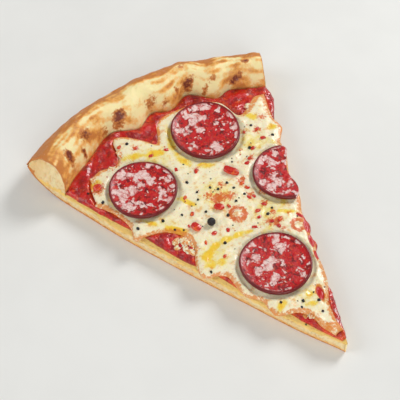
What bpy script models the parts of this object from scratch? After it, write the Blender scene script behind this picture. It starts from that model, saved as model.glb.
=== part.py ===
"""A slice of pizza: an eighth of a round pie, lying on its flat underside with its tip towards -Y.

The origin is on the underside, on the slice's centre line, half way from the tip to the edge of the pie.
Places on the slice are given from the pie's centre, which is the tip: a radius and an angle from the
centre line, positive to the right, or x to the right and y from the tip towards the crust.
"""

import math
import random

import bmesh
import bpy
from mathutils import Matrix, Vector, noise
from mathutils.bvhtree import BVHTree

MM = 0.001
GAP = 0.3 * MM
LEVEL_ROUNDING = 0.001 * MM

# The pie and its cut
PIE_RADIUS = 178 * MM
HALF_WEDGE = math.radians(23.2)
TIP_Y = -PIE_RADIUS / 2

# Heights of the layers above the underside
BASE_TOP = 7.0 * MM
SAUCE_BOTTOM = BASE_TOP + GAP
SAUCE_TOP = 8.6 * MM
CHEESE_BOTTOM = SAUCE_TOP + GAP
CHEESE_TOP = 11.3 * MM
SEAT_TOP = 10.6 * MM

# The crust's rim
RIM_HEIGHT = 21.2 * MM
RIM_END_HEIGHT = 23.4 * MM
RIM_EDGE_TOP = 13.0 * MM
RIM_EDGE_BOTTOM = 8.0 * MM
RIM_END_BOTTOM = 12.0 * MM
RIM_FULLNESS = 0.60
RIM_END_FULLNESS = 0.50
RIM_LIFT_START = 157 * MM
RIM_END_LIFT_START = 150 * MM
RIM_LEAN = 3.0 * MM
RIM_WAVE = 0.5 * MM
RIM_ROUGHNESS = 0.7 * MM
RIM_ROUGHNESS_SPAN = 11 * MM
FOOT_PLACE = 0.84

# The dough's cut sides and its tip
DOUGH_TIP = 1.2 * MM
TIP_ROUNDING = 0.6 * MM
SIDE_BELLY = 0.35 * MM
CRUMB_DEPTH = 0.25 * MM
RIM_CRUMB_DEPTH = 0.95 * MM
CRUMB_SPAN = 2.6 * MM

# Outer radius of the pie and inner foot of the rim: degrees from the centre line, radius in mm
PIE_EDGE = ((-23, 175.5), (-19, 177), (-12, 178), (1, 178), (6, 177.5), (13, 174.8), (18, 172.4), (24, 170.7))
RIM_FOOT = (
    (-23, 152), (-20, 154), (-15, 156), (-8.5, 160.5), (-3.6, 154), (0.3, 158.2), (4, 155), (8.5, 160),
    (12.8, 152), (16.3, 155), (19, 153.6), (23, 152.4),
)

# How far the knife's cut lies outside the wedge's left side and inside its right side: radius, mm
LEFT_BULGE = ((3, 0.3), (23, 1.9), (53, 2.4), (85, 2.9), (116, 2.6), (140, 1.2), (156, 0.2), (178, -0.6))
RIGHT_INSET = ((3, 0.3), (30, 1.5), (110, 1.8), (135, 0.8), (152, -0.6), (178, -1.6))

# Sauce edges: how far inside the left cut, and inside the wedge's right side
SAUCE_LEFT = (
    (4, 0.5), (20, 1.3), (34, 2.4), (51, 1.2), (70, 2.4), (82, 1.2), (95, 1.6), (108, 2.4), (135, 1.2), (153, 0.9),
)
SAUCE_RIGHT = (
    (4, 0.5), (20, 0.4), (26, 0.4), (33, 1.6), (47, 2.0), (52, -0.2), (57.5, 2.0), (63, 0.2), (69, 2.4),
    (100, 2.2), (125, 1.4), (137, -0.9), (143, -2.2), (148, -1.6), (153, 0),
)

SAUCE_TIP = 3.2 * MM
SAUCE_RIM_GAP = 0.5 * MM
SAUCE_SWELL = (0.4 * MM, 1.6 * MM)
SAUCE_SWELL_REACH = (3.7 * MM, 5.8 * MM)
SAUCE_LUMP_SPAN = 5.5 * MM
SAUCE_BORDER = 0.035

# Cheese edges: towards the rim by angle, then along both cuts by radius, as for the sauce
CHEESE_RIM = (
    (-23, 134), (-20, 143.5), (-16.6, 145.5), (-13.5, 142), (-11.3, 144), (-9.6, 154), (-7.6, 153),
    (-5.2, 145.5), (-3, 138.5), (0, 149), (3.6, 151.5), (10, 150), (14, 146), (16.3, 135.5), (19, 138.6),
    (21, 144.5), (23, 145.5),
)
CHEESE_LEFT = (
    (6, 0.8), (14, 2.4), (20, 4.8), (26, 3.6), (34, -3.3), (42, 0.4), (50, -1.4), (61, 3.6), (65.5, 1.6),
    (71, -3.6), (76.5, 1.4), (84, 10.4), (91, 12.0), (99, 8.8), (104, 3.6), (108.5, -3.3), (113, 2.4),
    (124, 4.6), (134, 3.0),
)
CHEESE_RIGHT = (
    (6, 1.4), (12, 3.4), (21, 4.0), (26, 2.8), (31, 1.6), (40, 1.6), (47, 2.4), (52, 1.6), (58, 2.6), (63, 2.0),
    (70, 3.0), (80, 1.6), (93, 3.2), (106, 1.4), (114, 2.2), (119, 0.4), (122.5, -0.8), (126, 0.4), (130, 2.4),
    (146, 2.8),
)
CHEESE_TIP = 6.5 * MM
CHEESE_NOSE = 0.7 * MM
CHEESE_BORDER = 0.05
CHEESE_BORDER_SHARE = 0.62
CHEESE_WAVE = 0.5 * MM
CHEESE_WAVE_SPAN = 9 * MM
CHEESE_LIP = 0.35 * MM

# Where melted cheese hangs over the left cut it turns down round this radius, from this far inside the cut
DRAPE_RADIUS = 3.0 * MM
DRAPE_START = 1.5 * MM

# Slices of cured sausage: x, y and the two half widths, in mm
SALAMI = ((15.8, 130.5, 17.2, 18.2), (-29.7, 117.4, 16.3, 16.7), (32.5, 86.9, 16.2, 16.2), (-2.9, 48.6, 16.5, 16.4))
SALAMI_THICKNESS = 1.9 * MM
SALAMI_CUP = 0.9 * MM
SALAMI_RUFFLE = 0.25 * MM
SALAMI_BOTTOM = SEAT_TOP + GAP
CUT_SALAMI = 2

# The wavy edge that the knife left on one sausage slice, with both its corners rounded off, and the tool that cuts it
CUT_EDGE = (
    (35.6, 105.5), (38.4, 102.6), (40.6, 100.0), (41.2, 98.0), (40.0, 96.0), (37.4, 93.0), (34.8, 89.5),
    (33.2, 86.5), (32.7, 83.0), (32.5, 79.2), (31.6, 76.2), (29.9, 73.9), (27.5, 72.4), (25.0, 71.2), (21.5, 70.2),
)
CUT_EDGE_STEPS = 4
CUTTER_OUTSIDE = ((60, 60), (60, 115))
CUTTER_DEPTH = 20 * MM

# Pieces of red pepper and a black peppercorn: x, y, length, width, height in mm and turn in degrees
PEPPER_PIECES = (
    (-21.0, 85.8, 5.2, 3.7, 2.0, -78),
    (-5.6, 89.0, 4.8, 3.3, 2.0, -38),
    (11.6, 103.1, 8.4, 3.9, 2.2, -58),
    (-46.7, 131.2, 4.0, 3.8, 2.0, 0),
)
PEPPERCORN = (-13.8, 83.6, 4.0)
PIECE_SEAT = 11.1 * MM

# Blisters on the rim: degrees, radius, length and width in mm, height in mm
RIM_BLISTERS = (
    (-6.0, 159, 8.0, 5.0, 1.1), (-13.3, 162, 9.0, 4.5, 0.9), (-19.0, 160, 6.0, 6.0, 1.0), (0.7, 163, 7.0, 5.0, 0.8),
    (8.5, 162, 8.0, 4.5, 1.0), (8.2, 168, 7.0, 5.0, 0.7), (13.5, 160, 7.0, 5.0, 0.8), (19.0, 160, 6.0, 5.0, 1.0),
)

# Blisters in the cheese: x, y, radius and height in mm
CHEESE_BLISTERS = (
    (-0.3, 81.1, 4.2, 0.9), (8.0, 92.0, 5.0, 0.6), (-9.0, 108.0, 5.0, 0.6), (14.0, 71.0, 4.6, 0.7),
    (-18.0, 68.0, 4.4, 0.6), (31.0, 110.0, 4.0, 0.6), (4.0, 25.0, 3.4, 0.5),
)

# Grains of black pepper and flakes of chilli over the slice: x and y in mm
PEPPER_GRAINS = (
    (-20.5, 146.3), (-8.9, 102.4), (-11.2, 98.3), (-22.3, 95.4), (-12.1, 90.4), (-31.5, 97.6), (-29.4, 90.7),
    (-26.2, 88.1), (-29.2, 62.1), (-14.9, 71.2), (-43.5, 100.5), (36.8, 121.0), (41.9, 109.9), (27.6, 109.8),
    (15.4, 107.6), (6.9, 94.3), (-2.5, 100.8), (0.3, 98.1), (5.9, 98.6), (8.9, 88.5), (3.2, 87.5), (-4.6, 83.1),
    (14.7, 74.6), (11.0, 72.9), (-13.0, 31.7), (-4.4, 26.9), (-6.8, 24.6), (1.5, 23.1), (-0.6, 17.8),
    (-48.7, 122.9), (-51.5, 132.0), (-9.8, 109.5),
)
CHILLI_FLAKES = (
    (-18.6, 141.9), (-6.8, 132.1), (-14.9, 133.2), (-9.7, 119.0), (-2.1, 113.0), (-15.6, 102.7), (-18.1, 93.2),
    (-23.1, 88.4), (-15.9, 78.6), (-9.6, 76.2), (-21.8, 76.6), (-19.2, 65.2), (31.4, 119.5), (37.9, 117.4),
    (36.8, 111.1), (29.0, 108.8), (21.0, 102.9), (24.0, 104.6), (11.8, 94.5), (12.3, 91.2), (9.6, 85.9),
    (11.9, 85.0), (-1.2, 87.1), (13.0, 78.6), (8.2, 77.0), (6.6, 73.9), (1.6, 70.5), (10.2, 68.7), (13.9, 67.4),
    (11.1, 64.6), (-24.8, 146.9),
)
FLAKE_SIZE = (2.6 * MM, 1.7 * MM, 1.3 * MM)
GRAIN_SIZE = (1.5 * MM, 1.3 * MM, 1.3 * MM)
FLAKE_SCALE = (0.8, 1.1)
FLAKE_MARGIN = 2.0 * MM
PIECE_MARGIN = 2.0 * MM
LEAST_SEAT_SHARE = 0.2

# sRGB colours, roughness
COLOURS = {
    "crust_baked": ((0.86, 0.66, 0.40), 0.70),
    "sauce_tomato": ((0.70, 0.11, 0.07), 0.30),
    "cheese_melted": ((0.94, 0.89, 0.70), 0.38),
    "salami_red": ((0.66, 0.12, 0.12), 0.40),
    "pepper_red": ((0.78, 0.12, 0.06), 0.35),
    "peppercorn_black": ((0.06, 0.05, 0.05), 0.45),
}


def clamp(x, low=0.0, high=1.0):
    return max(low, min(high, x))


def mix(a, b, s):
    return a + (b - a) * s


def smooth(low, high, x):
    """0 below low, 1 above high, and a soft step between them."""
    s = clamp((x - low) / (high - low))
    return s * s * (3 - 2 * s)


def slope_at(points, i):
    """Slope of the curve at one of its points, from the points on both sides."""
    x0, y0 = points[max(i - 1, 0)]
    x1, y1 = points[min(i + 1, len(points) - 1)]
    return (y1 - y0) / (x1 - x0)


def through(points, x):
    """Height at x of a smooth curve through the points, level beyond its ends."""
    if x <= points[0][0]:
        return points[0][1]
    if x >= points[-1][0]:
        return points[-1][1]
    i = max(k for k in range(len(points)) if points[k][0] <= x)
    (x0, y0), (x1, y1) = points[i], points[i + 1]
    width = x1 - x0
    s = (x - x0) / width
    rise = width * ((s**3 - 2 * s**2 + s) * slope_at(points, i) + (s**3 - s**2) * slope_at(points, i + 1))
    return y0 + (y1 - y0) * (3 * s**2 - 2 * s**3) + rise


def edge(points, position):
    """An outline's value in metres, where the outline is in mm and position is a radius in metres."""
    return through(points, position / MM) * MM


def ring_edge(points, angle):
    """A radius in metres, where the outline gives mm by degrees and angle is in radians."""
    return through(points, math.degrees(angle)) * MM


def left_angle(r):
    """Angle of the left cut at this radius."""
    return -HALF_WEDGE - edge(LEFT_BULGE, r) / r


def right_angle(r):
    """Angle of the right cut at this radius."""
    return HALF_WEDGE - edge(RIGHT_INSET, r) / r


def plan(r, angle):
    """x and y in the object's frame."""
    return r * math.sin(angle), TIP_Y + r * math.cos(angle)


def bump(x, y, centre_x, centre_y, half_x, half_y):
    """1 at the centre, falling softly to 0 at the half widths."""
    d = math.hypot((x - centre_x) / half_x, (y - centre_y) / half_y)
    return 1 - smooth(0, 1, d)


def stations(*stretches):
    """Places from 0 to 1: each stretch is its end and the number of equal steps up to it."""
    places = [0.0]
    for end, steps in stretches:
        start = places[-1]
        places += [mix(start, end, k / steps) for k in range(1, steps + 1)]
    return places


# The same places across the slice serve the dough and the sauce, so that their edges follow each other
ACROSS = stations((0.03, 1), (0.97, 34), (1, 1))


def slab(cuts, form):
    """A closed block with a corner at each station along its sides, every corner then moved by form.

    The forms lay its first side along y and its second along x, which turns the faces round.
    """
    bm = bmesh.new()
    bmesh.ops.create_cube(bm, size=1, matrix=Matrix.Translation((0.5, 0.5, 0.5)))
    for axis, places in enumerate(cuts):
        for place in places[1:-1]:
            point = Vector((0, 0, 0))
            point[axis] = place
            normal = Vector((0, 0, 0))
            normal[axis] = 1
            everything = bm.verts[:] + bm.edges[:] + bm.faces[:]
            bmesh.ops.bisect_plane(bm, geom=everything, plane_co=point, plane_no=normal)
    for vert in bm.verts:
        vert.co = form(*vert.co)
    bmesh.ops.reverse_faces(bm, faces=bm.faces)
    return bm


def merge_level(bm, height):
    """Joins the small faces that lie level at this height into few large ones."""
    level = {face for face in bm.faces if all(abs(vert.co.z - height) < LEVEL_ROUNDING for vert in face.verts)}
    lines = [line for line in bm.edges if all(side in level for side in line.link_faces)]
    corners = [vert for vert in bm.verts if all(side in level for side in vert.link_faces)]
    bmesh.ops.dissolve_limit(bm, angle_limit=math.radians(0.05), verts=corners, edges=lines)


def add_object(name, bm, collection, material):
    """Turns the working mesh into an object, shaded smooth but for its sharp edges."""
    mesh = bpy.data.meshes.new(name)
    bm.to_mesh(mesh)
    bm.free()
    mesh.shade_smooth()
    mesh.set_sharp_from_angle(angle=math.radians(50))
    mesh.materials.append(material)
    obj = bpy.data.objects.new(name, mesh)
    collection.objects.link(obj)
    return obj


def make_materials():
    """One plain material for each slot."""
    made = {}
    for name, (colour, roughness) in COLOURS.items():
        material = bpy.data.materials.new(name)
        material.use_nodes = True
        shader = material.node_tree.nodes["Principled BSDF"]
        linear = [c / 12.92 if c <= 0.04045 else ((c + 0.055) / 1.055) ** 2.4 for c in colour]
        shader.inputs["Base Color"].default_value = (*linear, 1)
        shader.inputs["Roughness"].default_value = roughness
        shader.inputs["Metallic"].default_value = 0
        made[name] = material
    return made


# Dough


def left_end_share(angle):
    """1 at the rim's left end, where it is fuller, and 0 along the rest."""
    return 1 - smooth(-HALF_WEDGE, -0.6 * HALF_WEDGE, angle)


def rim_top(r, angle):
    """Height of the dough's upper side: level under the sauce, then arched over the rim."""
    foot = ring_edge(RIM_FOOT, angle)
    outer = ring_edge(PIE_EDGE, angle)
    if r <= foot:
        return BASE_TOP
    s = clamp((r - foot) / (outer - foot))
    end = left_end_share(angle)
    arch = max(0.0, math.sin(math.pi * s)) ** mix(RIM_FULLNESS, RIM_END_FULLNESS, end)
    floor = mix(BASE_TOP, RIM_EDGE_TOP, s)
    height = mix(RIM_HEIGHT, RIM_END_HEIGHT, end) + RIM_WAVE * math.sin(19 * angle)
    z = mix(floor, height, arch)
    x, y = plan(r, angle)
    for degrees, radius, length, width, rise in RIM_BLISTERS:
        along = (angle - math.radians(degrees)) * radius * MM
        z += rise * MM * bump(along, r, 0, radius * MM, length * MM, width * MM)
    return z + RIM_ROUGHNESS * arch * noise.noise(Vector((x, y, 0)) / RIM_ROUGHNESS_SPAN)


def rim_bottom(r, angle):
    """Height of the dough's underside: level, then lifting off under the rim."""
    end = left_end_share(angle)
    start = mix(RIM_LIFT_START, RIM_END_LIFT_START, end)
    lifted = clamp((r - start) / (ring_edge(PIE_EDGE, angle) - start))
    return mix(RIM_EDGE_BOTTOM, RIM_END_BOTTOM, end) * lifted**2.2


def dough_form(u, v, w):
    """Base and rim as one body: u from the tip outwards, v across, w from the underside up."""
    angle = mix(-HALF_WEDGE, HALF_WEDGE, v)
    foot = ring_edge(RIM_FOOT, angle)
    if u <= FOOT_PLACE:
        r = mix(DOUGH_TIP, foot, u / FOOT_PLACE)
    else:
        r = mix(foot, ring_edge(PIE_EDGE, angle), (u - FOOT_PLACE) / (1 - FOOT_PLACE))
    z = mix(rim_bottom(r, angle), rim_top(r, angle), w)
    left, right = left_angle(r), right_angle(r)
    x, y = plan(r, mix(left, right, v))
    side = smooth(0.5, 1, abs(2 * v - 1)) * (1 if v > 0.5 else -1)
    belly = SIDE_BELLY * math.sin(math.pi * w)
    lean = RIM_LEAN * smooth(BASE_TOP, RIM_HEIGHT, z) * (1.0 if side < 0 else 0.5)
    crumb = 0.0
    if v in (0, 1) and 0 < w < 1:
        depth = mix(CRUMB_DEPTH, RIM_CRUMB_DEPTH, u**8)
        crumb = depth * clamp(0.5 + noise.noise(Vector((x, y, z)) / CRUMB_SPAN))
    y -= TIP_ROUNDING * (1 - u) ** 30 * math.sin(math.pi * v)
    return Vector((x + side * (belly - lean - crumb), y, z))


def make_dough(collection, material):
    along = stations((FOOT_PLACE, 18), (0.88, 3), (0.98, 8), (1, 3))
    upward = stations((0.15, 1), (0.85, 3), (1, 1))
    block = slab((along, ACROSS, upward), dough_form)
    merge_level(block, 0)
    merge_level(block, BASE_TOP)
    return add_object("dough", block, collection, material)


# The cheese's outline, which the sauce follows where it lies bare


def cheese_left_inset(r):
    return edge(CHEESE_LEFT, r)


def cheese_right_inset(r):
    return edge(CHEESE_RIGHT, r) - edge(RIGHT_INSET, r)


def bare_depth(r, angle):
    """How far this place lies outside the cheese, negative under it."""
    past_rim = r - ring_edge(CHEESE_RIM, angle)
    past_left = cheese_left_inset(r) - (angle - left_angle(r)) * r
    past_right = cheese_right_inset(r) - (right_angle(r) - angle) * r
    return max(past_rim, past_left, past_right)


# Sauce


def sauce_form(u, v, w):
    """A thin layer that swells where no cheese covers it."""
    angle = mix(-HALF_WEDGE, HALF_WEDGE, v)
    outer = ring_edge(RIM_FOOT, angle) - SAUCE_RIM_GAP
    r = mix(SAUCE_TIP, outer, u)
    left = left_angle(r) + edge(SAUCE_LEFT, r) / r
    right = HALF_WEDGE - edge(SAUCE_RIGHT, r) / r
    angle = mix(left, right, v)
    x, y = plan(r, angle)
    bare = smooth(*SAUCE_SWELL_REACH, bare_depth(r, angle))
    lump = clamp(0.5 + noise.noise(Vector((x, y, 0)) / SAUCE_LUMP_SPAN))
    border = smooth(0, SAUCE_BORDER, min(1 - u, v, 1 - v))
    swell = bare * border * mix(*SAUCE_SWELL, lump)
    z = mix(SAUCE_BOTTOM, SAUCE_TOP + swell, w)
    return Vector((x, y, z))


def make_sauce(collection, material):
    along = stations((0.84, 34), (0.985, 9), (1, 1))
    block = slab((along, ACROSS, stations((1, 1))), sauce_form)
    merge_level(block, SAUCE_BOTTOM)
    merge_level(block, SAUCE_TOP)
    return add_object("sauce", block, collection, material)


# Cheese


def seat_blend(x, y):
    """0 under a sausage slice, 1 clear of it, and the rise of the lip around it."""
    clear = 1.0
    lip = 0.0
    for centre_x, centre_y, half_x, half_y in SALAMI:
        away = math.hypot((x / MM - centre_x) / half_x, ((y - TIP_Y) / MM - centre_y) / half_y)
        distance = (away - 1) * (half_x + half_y) / 2 * MM
        clear *= smooth(1.9 * MM, 3.9 * MM, distance)
        lip = max(lip, smooth(1.6 * MM, 3.0 * MM, distance) * (1 - smooth(3.0 * MM, 6 * MM, distance)))
    return clear, lip


def cheese_top(x, y):
    """Height of the cheese's upper side, with seats for what lies on it."""
    clear, lip = seat_blend(x, y)
    z = CHEESE_TOP + CHEESE_WAVE * noise.noise(Vector((x, y, 0)) / CHEESE_WAVE_SPAN) + CHEESE_LIP * lip
    for centre_x, centre_y, radius, rise in CHEESE_BLISTERS:
        z += rise * MM * bump(x, y, centre_x * MM, centre_y * MM + TIP_Y, radius * MM, radius * MM)
    for centre_x, centre_y, size in [piece[:3] for piece in PEPPER_PIECES] + [PEPPERCORN]:
        half = (size / 2 + 2.5) * MM
        z = mix(z, PIECE_SEAT, smooth(0, 0.55, bump(x, y, centre_x * MM, centre_y * MM + TIP_Y, half, half)))
    return mix(SEAT_TOP, z, clear)


def drape(across, z):
    """Carries a point at this distance outside the left cut round the edge and down."""
    past = across + DRAPE_START
    if past <= 0:
        return across, z
    middle = (CHEESE_BOTTOM + CHEESE_TOP) / 2
    pivot_z = middle - DRAPE_RADIUS
    arm = z - pivot_z
    turn = min(past / DRAPE_RADIUS, math.pi / 2)
    drop = past - turn * DRAPE_RADIUS
    return -DRAPE_START + arm * math.sin(turn), pivot_z + arm * math.cos(turn) - drop


def cheese_form(u, v, w):
    """A melted sheet with a rounded edge, hanging over the left cut where it reaches past it."""
    angle = mix(-HALF_WEDGE, HALF_WEDGE, v)
    outer = ring_edge(CHEESE_RIM, angle)
    r = mix(CHEESE_TIP, outer, u)
    left = left_angle(r) + cheese_left_inset(r) / r
    right = right_angle(r) - cheese_right_inset(r) / r
    angle = mix(left, right, v)
    x, y = plan(r, angle)
    border = smooth(0, CHEESE_BORDER, min(1.5 * u, 1 - u, v, 1 - v))
    upper = mix(mix(CHEESE_BOTTOM, CHEESE_TOP, CHEESE_BORDER_SHARE), cheese_top(x, y), border)
    z = mix(CHEESE_BOTTOM, upper, w)
    nose = CHEESE_NOSE * math.sin(math.pi * clamp(w))
    outward = nose if v in (0, 1) else 0
    r += nose if u == 1 else 0
    if v > 0.5:
        return Vector((*plan(r, angle + outward / r), z))
    across = (left_angle(r) - angle) * r + outward
    across, z = drape(across, z)
    return Vector((*plan(r, left_angle(r) - across / r), z))


def flake_places():
    """The grains and flakes that lie on the cheese, clear of its edge, of the sausage and of the larger pieces."""
    draw = random.Random(11)
    pieces = [piece[:3] for piece in PEPPER_PIECES] + [PEPPERCORN]
    places = []
    for table, size in ((CHILLI_FLAKES, FLAKE_SIZE), (PEPPER_GRAINS, GRAIN_SIZE)):
        for across, along in table:
            x, y = across * MM, along * MM + TIP_Y
            turn, scale = draw.uniform(0, math.tau), draw.uniform(*FLAKE_SCALE)
            r, angle = math.hypot(x, y - TIP_Y), math.atan2(x, y - TIP_Y)
            gaps = [math.hypot(across - a, along - b) - length / 2 for a, b, length in pieces]
            if bare_depth(r, angle) > -FLAKE_MARGIN or seat_blend(x, y)[0] < LEAST_SEAT_SHARE:
                continue
            if min(gaps) * MM > PIECE_MARGIN:
                places.append((x, y, size, turn, scale))
    return places


def make_cheese(collection, material):
    along = stations((0.12, 4), (0.93, 30), (1, 6))
    across = stations((0.1, 5), (0.94, 30), (1, 3))
    sheet = slab((along, across, stations((1, 2))), cheese_form)
    merge_level(sheet, CHEESE_BOTTOM)
    surface = BVHTree.FromBMesh(sheet)
    cheese = add_object("cheese", sheet, collection, material)
    flakes = bpy.data.collections.new("flakes_on_cheese")
    bpy.context.scene.collection.children.link(flakes)
    for x, y, size, turn, scale in flake_places():
        bm = bmesh.new()
        bmesh.ops.create_icosphere(bm, subdivisions=1, radius=0.5)
        bmesh.ops.scale(bm, verts=bm.verts, vec=Vector(size) * scale)
        bmesh.ops.rotate(bm, verts=bm.verts, matrix=Matrix.Rotation(turn, 3, "Z"))
        place = surface.ray_cast(Vector((x, y, RIM_HEIGHT)), Vector((0, 0, -1)))[0]
        bmesh.ops.translate(bm, verts=bm.verts, vec=place)
        add_object("flake", bm, flakes, material)
    union = cheese.modifiers.new("fuse_flakes", "BOOLEAN")
    union.operation = "UNION"
    union.solver = "EXACT"
    union.operand_type = "COLLECTION"
    union.collection = flakes
    bpy.context.view_layer.update()
    fused = bpy.data.meshes.new_from_object(cheese.evaluated_get(bpy.context.evaluated_depsgraph_get()))
    cheese.modifiers.clear()
    cheese.data = fused
    for flake in list(flakes.objects):
        bpy.data.objects.remove(flake)
    bpy.data.collections.remove(flakes)
    return cheese


# What lies on the cheese


def make_salami(number, collection, material):
    """A slice turned from its section, then made a little oval and uneven, with its edge cupped up."""
    centre_x, centre_y, half_x, half_y = SALAMI[number]
    lift = SALAMI_CUP
    top = SALAMI_THICKNESS
    section = (
        (0, 0), (0.55, 0), (0.85, 0.05 * MM), (0.955, 0.35 * lift), (1.0, 0.55 * top + 0.75 * lift),
        (0.975, top + lift), (0.9, top + 0.62 * lift), (0.76, top + 0.1 * lift), (0.4, top - 0.1 * MM), (0, top),
    )
    bm = bmesh.new()
    points = [bm.verts.new((radius, 0, z)) for radius, z in section]
    edges = [bm.edges.new(pair) for pair in zip(points, points[1:])]
    bmesh.ops.spin(bm, geom=points + edges, cent=(0, 0, 0), axis=(0, 0, 1), angle=math.tau, steps=32)
    bmesh.ops.remove_doubles(bm, verts=bm.verts, dist=0.00001)
    bmesh.ops.recalc_face_normals(bm, faces=bm.faces)
    for vert in bm.verts:
        turn = math.atan2(vert.co.y, vert.co.x)
        round_off = 1 + 0.012 * math.sin(2 * turn + number) + 0.010 * math.sin(3 * turn + 2.3 * number)
        vert.co.x *= half_x * MM * round_off
        vert.co.y *= half_y * MM * round_off
        ruffle = SALAMI_RUFFLE * (1 + math.sin(3 * turn + 1.7 * number))
        vert.co.z += ruffle * smooth(0.8, 1.0, vert.co.xy.length / (half_x * MM))
    place = Matrix.Translation((centre_x * MM, centre_y * MM + TIP_Y, SALAMI_BOTTOM))
    bmesh.ops.transform(bm, matrix=place, verts=bm.verts)
    return add_object(f"salami_{number + 1}", bm, collection, material)


def cut_salami(salami, cutters):
    """Takes away what lay beyond the knife's edge, which leaves a little over half of the slice."""
    tables = [[(place, point[axis]) for place, point in enumerate(CUT_EDGE)] for axis in (0, 1)]
    places = [step / CUT_EDGE_STEPS for step in range(CUT_EDGE_STEPS * (len(CUT_EDGE) - 1) + 1)]
    outline = [[through(table, place) for table in tables] for place in places] + list(CUTTER_OUTSIDE)
    bm = bmesh.new()
    bottom = SALAMI_BOTTOM - CUTTER_DEPTH / 2
    face = bm.faces.new([bm.verts.new((x * MM, y * MM + TIP_Y, bottom)) for x, y in outline])
    raised = bmesh.ops.extrude_face_region(bm, geom=[face])["geom"]
    lifted = [item for item in raised if isinstance(item, bmesh.types.BMVert)]
    bmesh.ops.translate(bm, verts=lifted, vec=(0, 0, CUTTER_DEPTH))
    bmesh.ops.recalc_face_normals(bm, faces=bm.faces)
    cutter = add_object("salami_cutter", bm, cutters, salami.data.materials[0])
    cutter.hide_render = True
    cutter.display_type = "WIRE"
    cut = salami.modifiers.new("knife_cut", "BOOLEAN")
    cut.operation = "DIFFERENCE"
    cut.solver = "EXACT"
    cut.object = cutter


def make_piece(name, place, size, turn, collection, material):
    """A rounded piece that lies on the cheese."""
    x, y = place
    bm = bmesh.new()
    bmesh.ops.create_uvsphere(bm, u_segments=12, v_segments=7, radius=0.5)
    bmesh.ops.scale(bm, verts=bm.verts, vec=Vector(size) * MM)
    bmesh.ops.rotate(bm, verts=bm.verts, matrix=Matrix.Rotation(math.radians(turn), 3, "Z"))
    centre = (x * MM, y * MM + TIP_Y, PIECE_SEAT + GAP + size[2] / 2 * MM)
    bmesh.ops.translate(bm, verts=bm.verts, vec=centre)
    return add_object(name, bm, collection, material)


def main():
    for obj in list(bpy.data.objects):
        bpy.data.objects.remove(obj)
    parts = bpy.data.collections.new("pizza_slice")
    cutters = bpy.data.collections.new("cutters")
    bpy.context.scene.collection.children.link(parts)
    bpy.context.scene.collection.children.link(cutters)
    materials = make_materials()

    make_dough(parts, materials["crust_baked"])
    make_sauce(parts, materials["sauce_tomato"])
    make_cheese(parts, materials["cheese_melted"])
    for number in range(len(SALAMI)):
        salami = make_salami(number, parts, materials["salami_red"])
        if number == CUT_SALAMI:
            cut_salami(salami, cutters)
    for number, (x, y, *size, turn) in enumerate(PEPPER_PIECES, 1):
        make_piece(f"red_pepper_piece_{number}", (x, y), size, turn, parts, materials["pepper_red"])
    x, y, size = PEPPERCORN
    make_piece("peppercorn", (x, y), (size, size, size * 0.9), 0, parts, materials["peppercorn_black"])


main()
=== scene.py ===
"""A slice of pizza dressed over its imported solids: baked crust, sauce, melted cheese, sausage and toppings.

It is laid out as an add-on and run as a script. Places are in the part's own frame: the origin is on the
underside, half way from the tip to the edge of the pie, and +Y points towards the crust. The tables of
places are in mm with y from the tip, or give degrees from the centre line and a radius from the tip.
"""

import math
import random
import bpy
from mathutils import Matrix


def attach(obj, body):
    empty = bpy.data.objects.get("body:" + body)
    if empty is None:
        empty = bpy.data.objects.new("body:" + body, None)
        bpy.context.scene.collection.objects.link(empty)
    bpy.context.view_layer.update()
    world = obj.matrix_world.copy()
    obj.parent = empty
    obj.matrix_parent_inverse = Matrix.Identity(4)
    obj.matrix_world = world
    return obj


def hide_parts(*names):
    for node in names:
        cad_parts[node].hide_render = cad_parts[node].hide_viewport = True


bl_info = {
    "name": "Pizza slice",
    "version": (1, 0, 0),
    "blender": (4, 5, 0),
    "location": "3D View > Sidebar > Pizza slice",
    "description": "Builds a baked slice of pizza over its plain solids",
    "category": "Add Mesh",
}

import bmesh
import bpy
from bpy.props import FloatProperty, FloatVectorProperty, IntProperty, PointerProperty
from mathutils import Matrix, Vector, noise
from mathutils.bvhtree import BVHTree

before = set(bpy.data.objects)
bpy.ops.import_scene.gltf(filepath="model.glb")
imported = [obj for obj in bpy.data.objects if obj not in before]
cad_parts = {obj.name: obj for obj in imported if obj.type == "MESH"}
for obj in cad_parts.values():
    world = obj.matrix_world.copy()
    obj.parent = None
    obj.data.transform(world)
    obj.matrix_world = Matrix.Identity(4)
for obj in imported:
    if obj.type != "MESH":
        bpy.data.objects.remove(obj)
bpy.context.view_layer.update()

MM = 0.001
CURVE_SAMPLES = 900

# The pie and its cut, as in the solids
PIE_RADIUS = 178 * MM
HALF_WEDGE = math.radians(23.2)
TIP_Y = -PIE_RADIUS / 2

# Heights of the layers. The soft layers sink a little into each other
BASE_TOP = 7.0 * MM
SAUCE_BOTTOM = 6.9 * MM
SAUCE_TOP = 8.6 * MM
CHEESE_BOTTOM = 8.75 * MM
CHEESE_TOP = 11.3 * MM
SEAT_TOP = 10.6 * MM
SALAMI_BOTTOM = 10.75 * MM
PIECE_SEAT = 11.1 * MM

# The crust's rim
RIM_HEIGHT = 21.2 * MM
RIM_END_HEIGHT = 23.4 * MM
RIM_EDGE_TOP = 13.0 * MM
RIM_EDGE_BOTTOM = 8.0 * MM
RIM_END_BOTTOM = 12.0 * MM
RIM_FULLNESS = 0.60
RIM_END_FULLNESS = 0.50
RIM_LIFT_START = 157 * MM
RIM_END_LIFT_START = 150 * MM
RIM_LEAN = 3.0 * MM
RIM_WAVE = 0.5 * MM
RIM_ROUGHNESS = 0.7 * MM
RIM_ROUGHNESS_SPAN = 11 * MM
RIM_BUBBLE_SIZE = 3 * MM
FOOT_PLACE = 0.84

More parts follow.
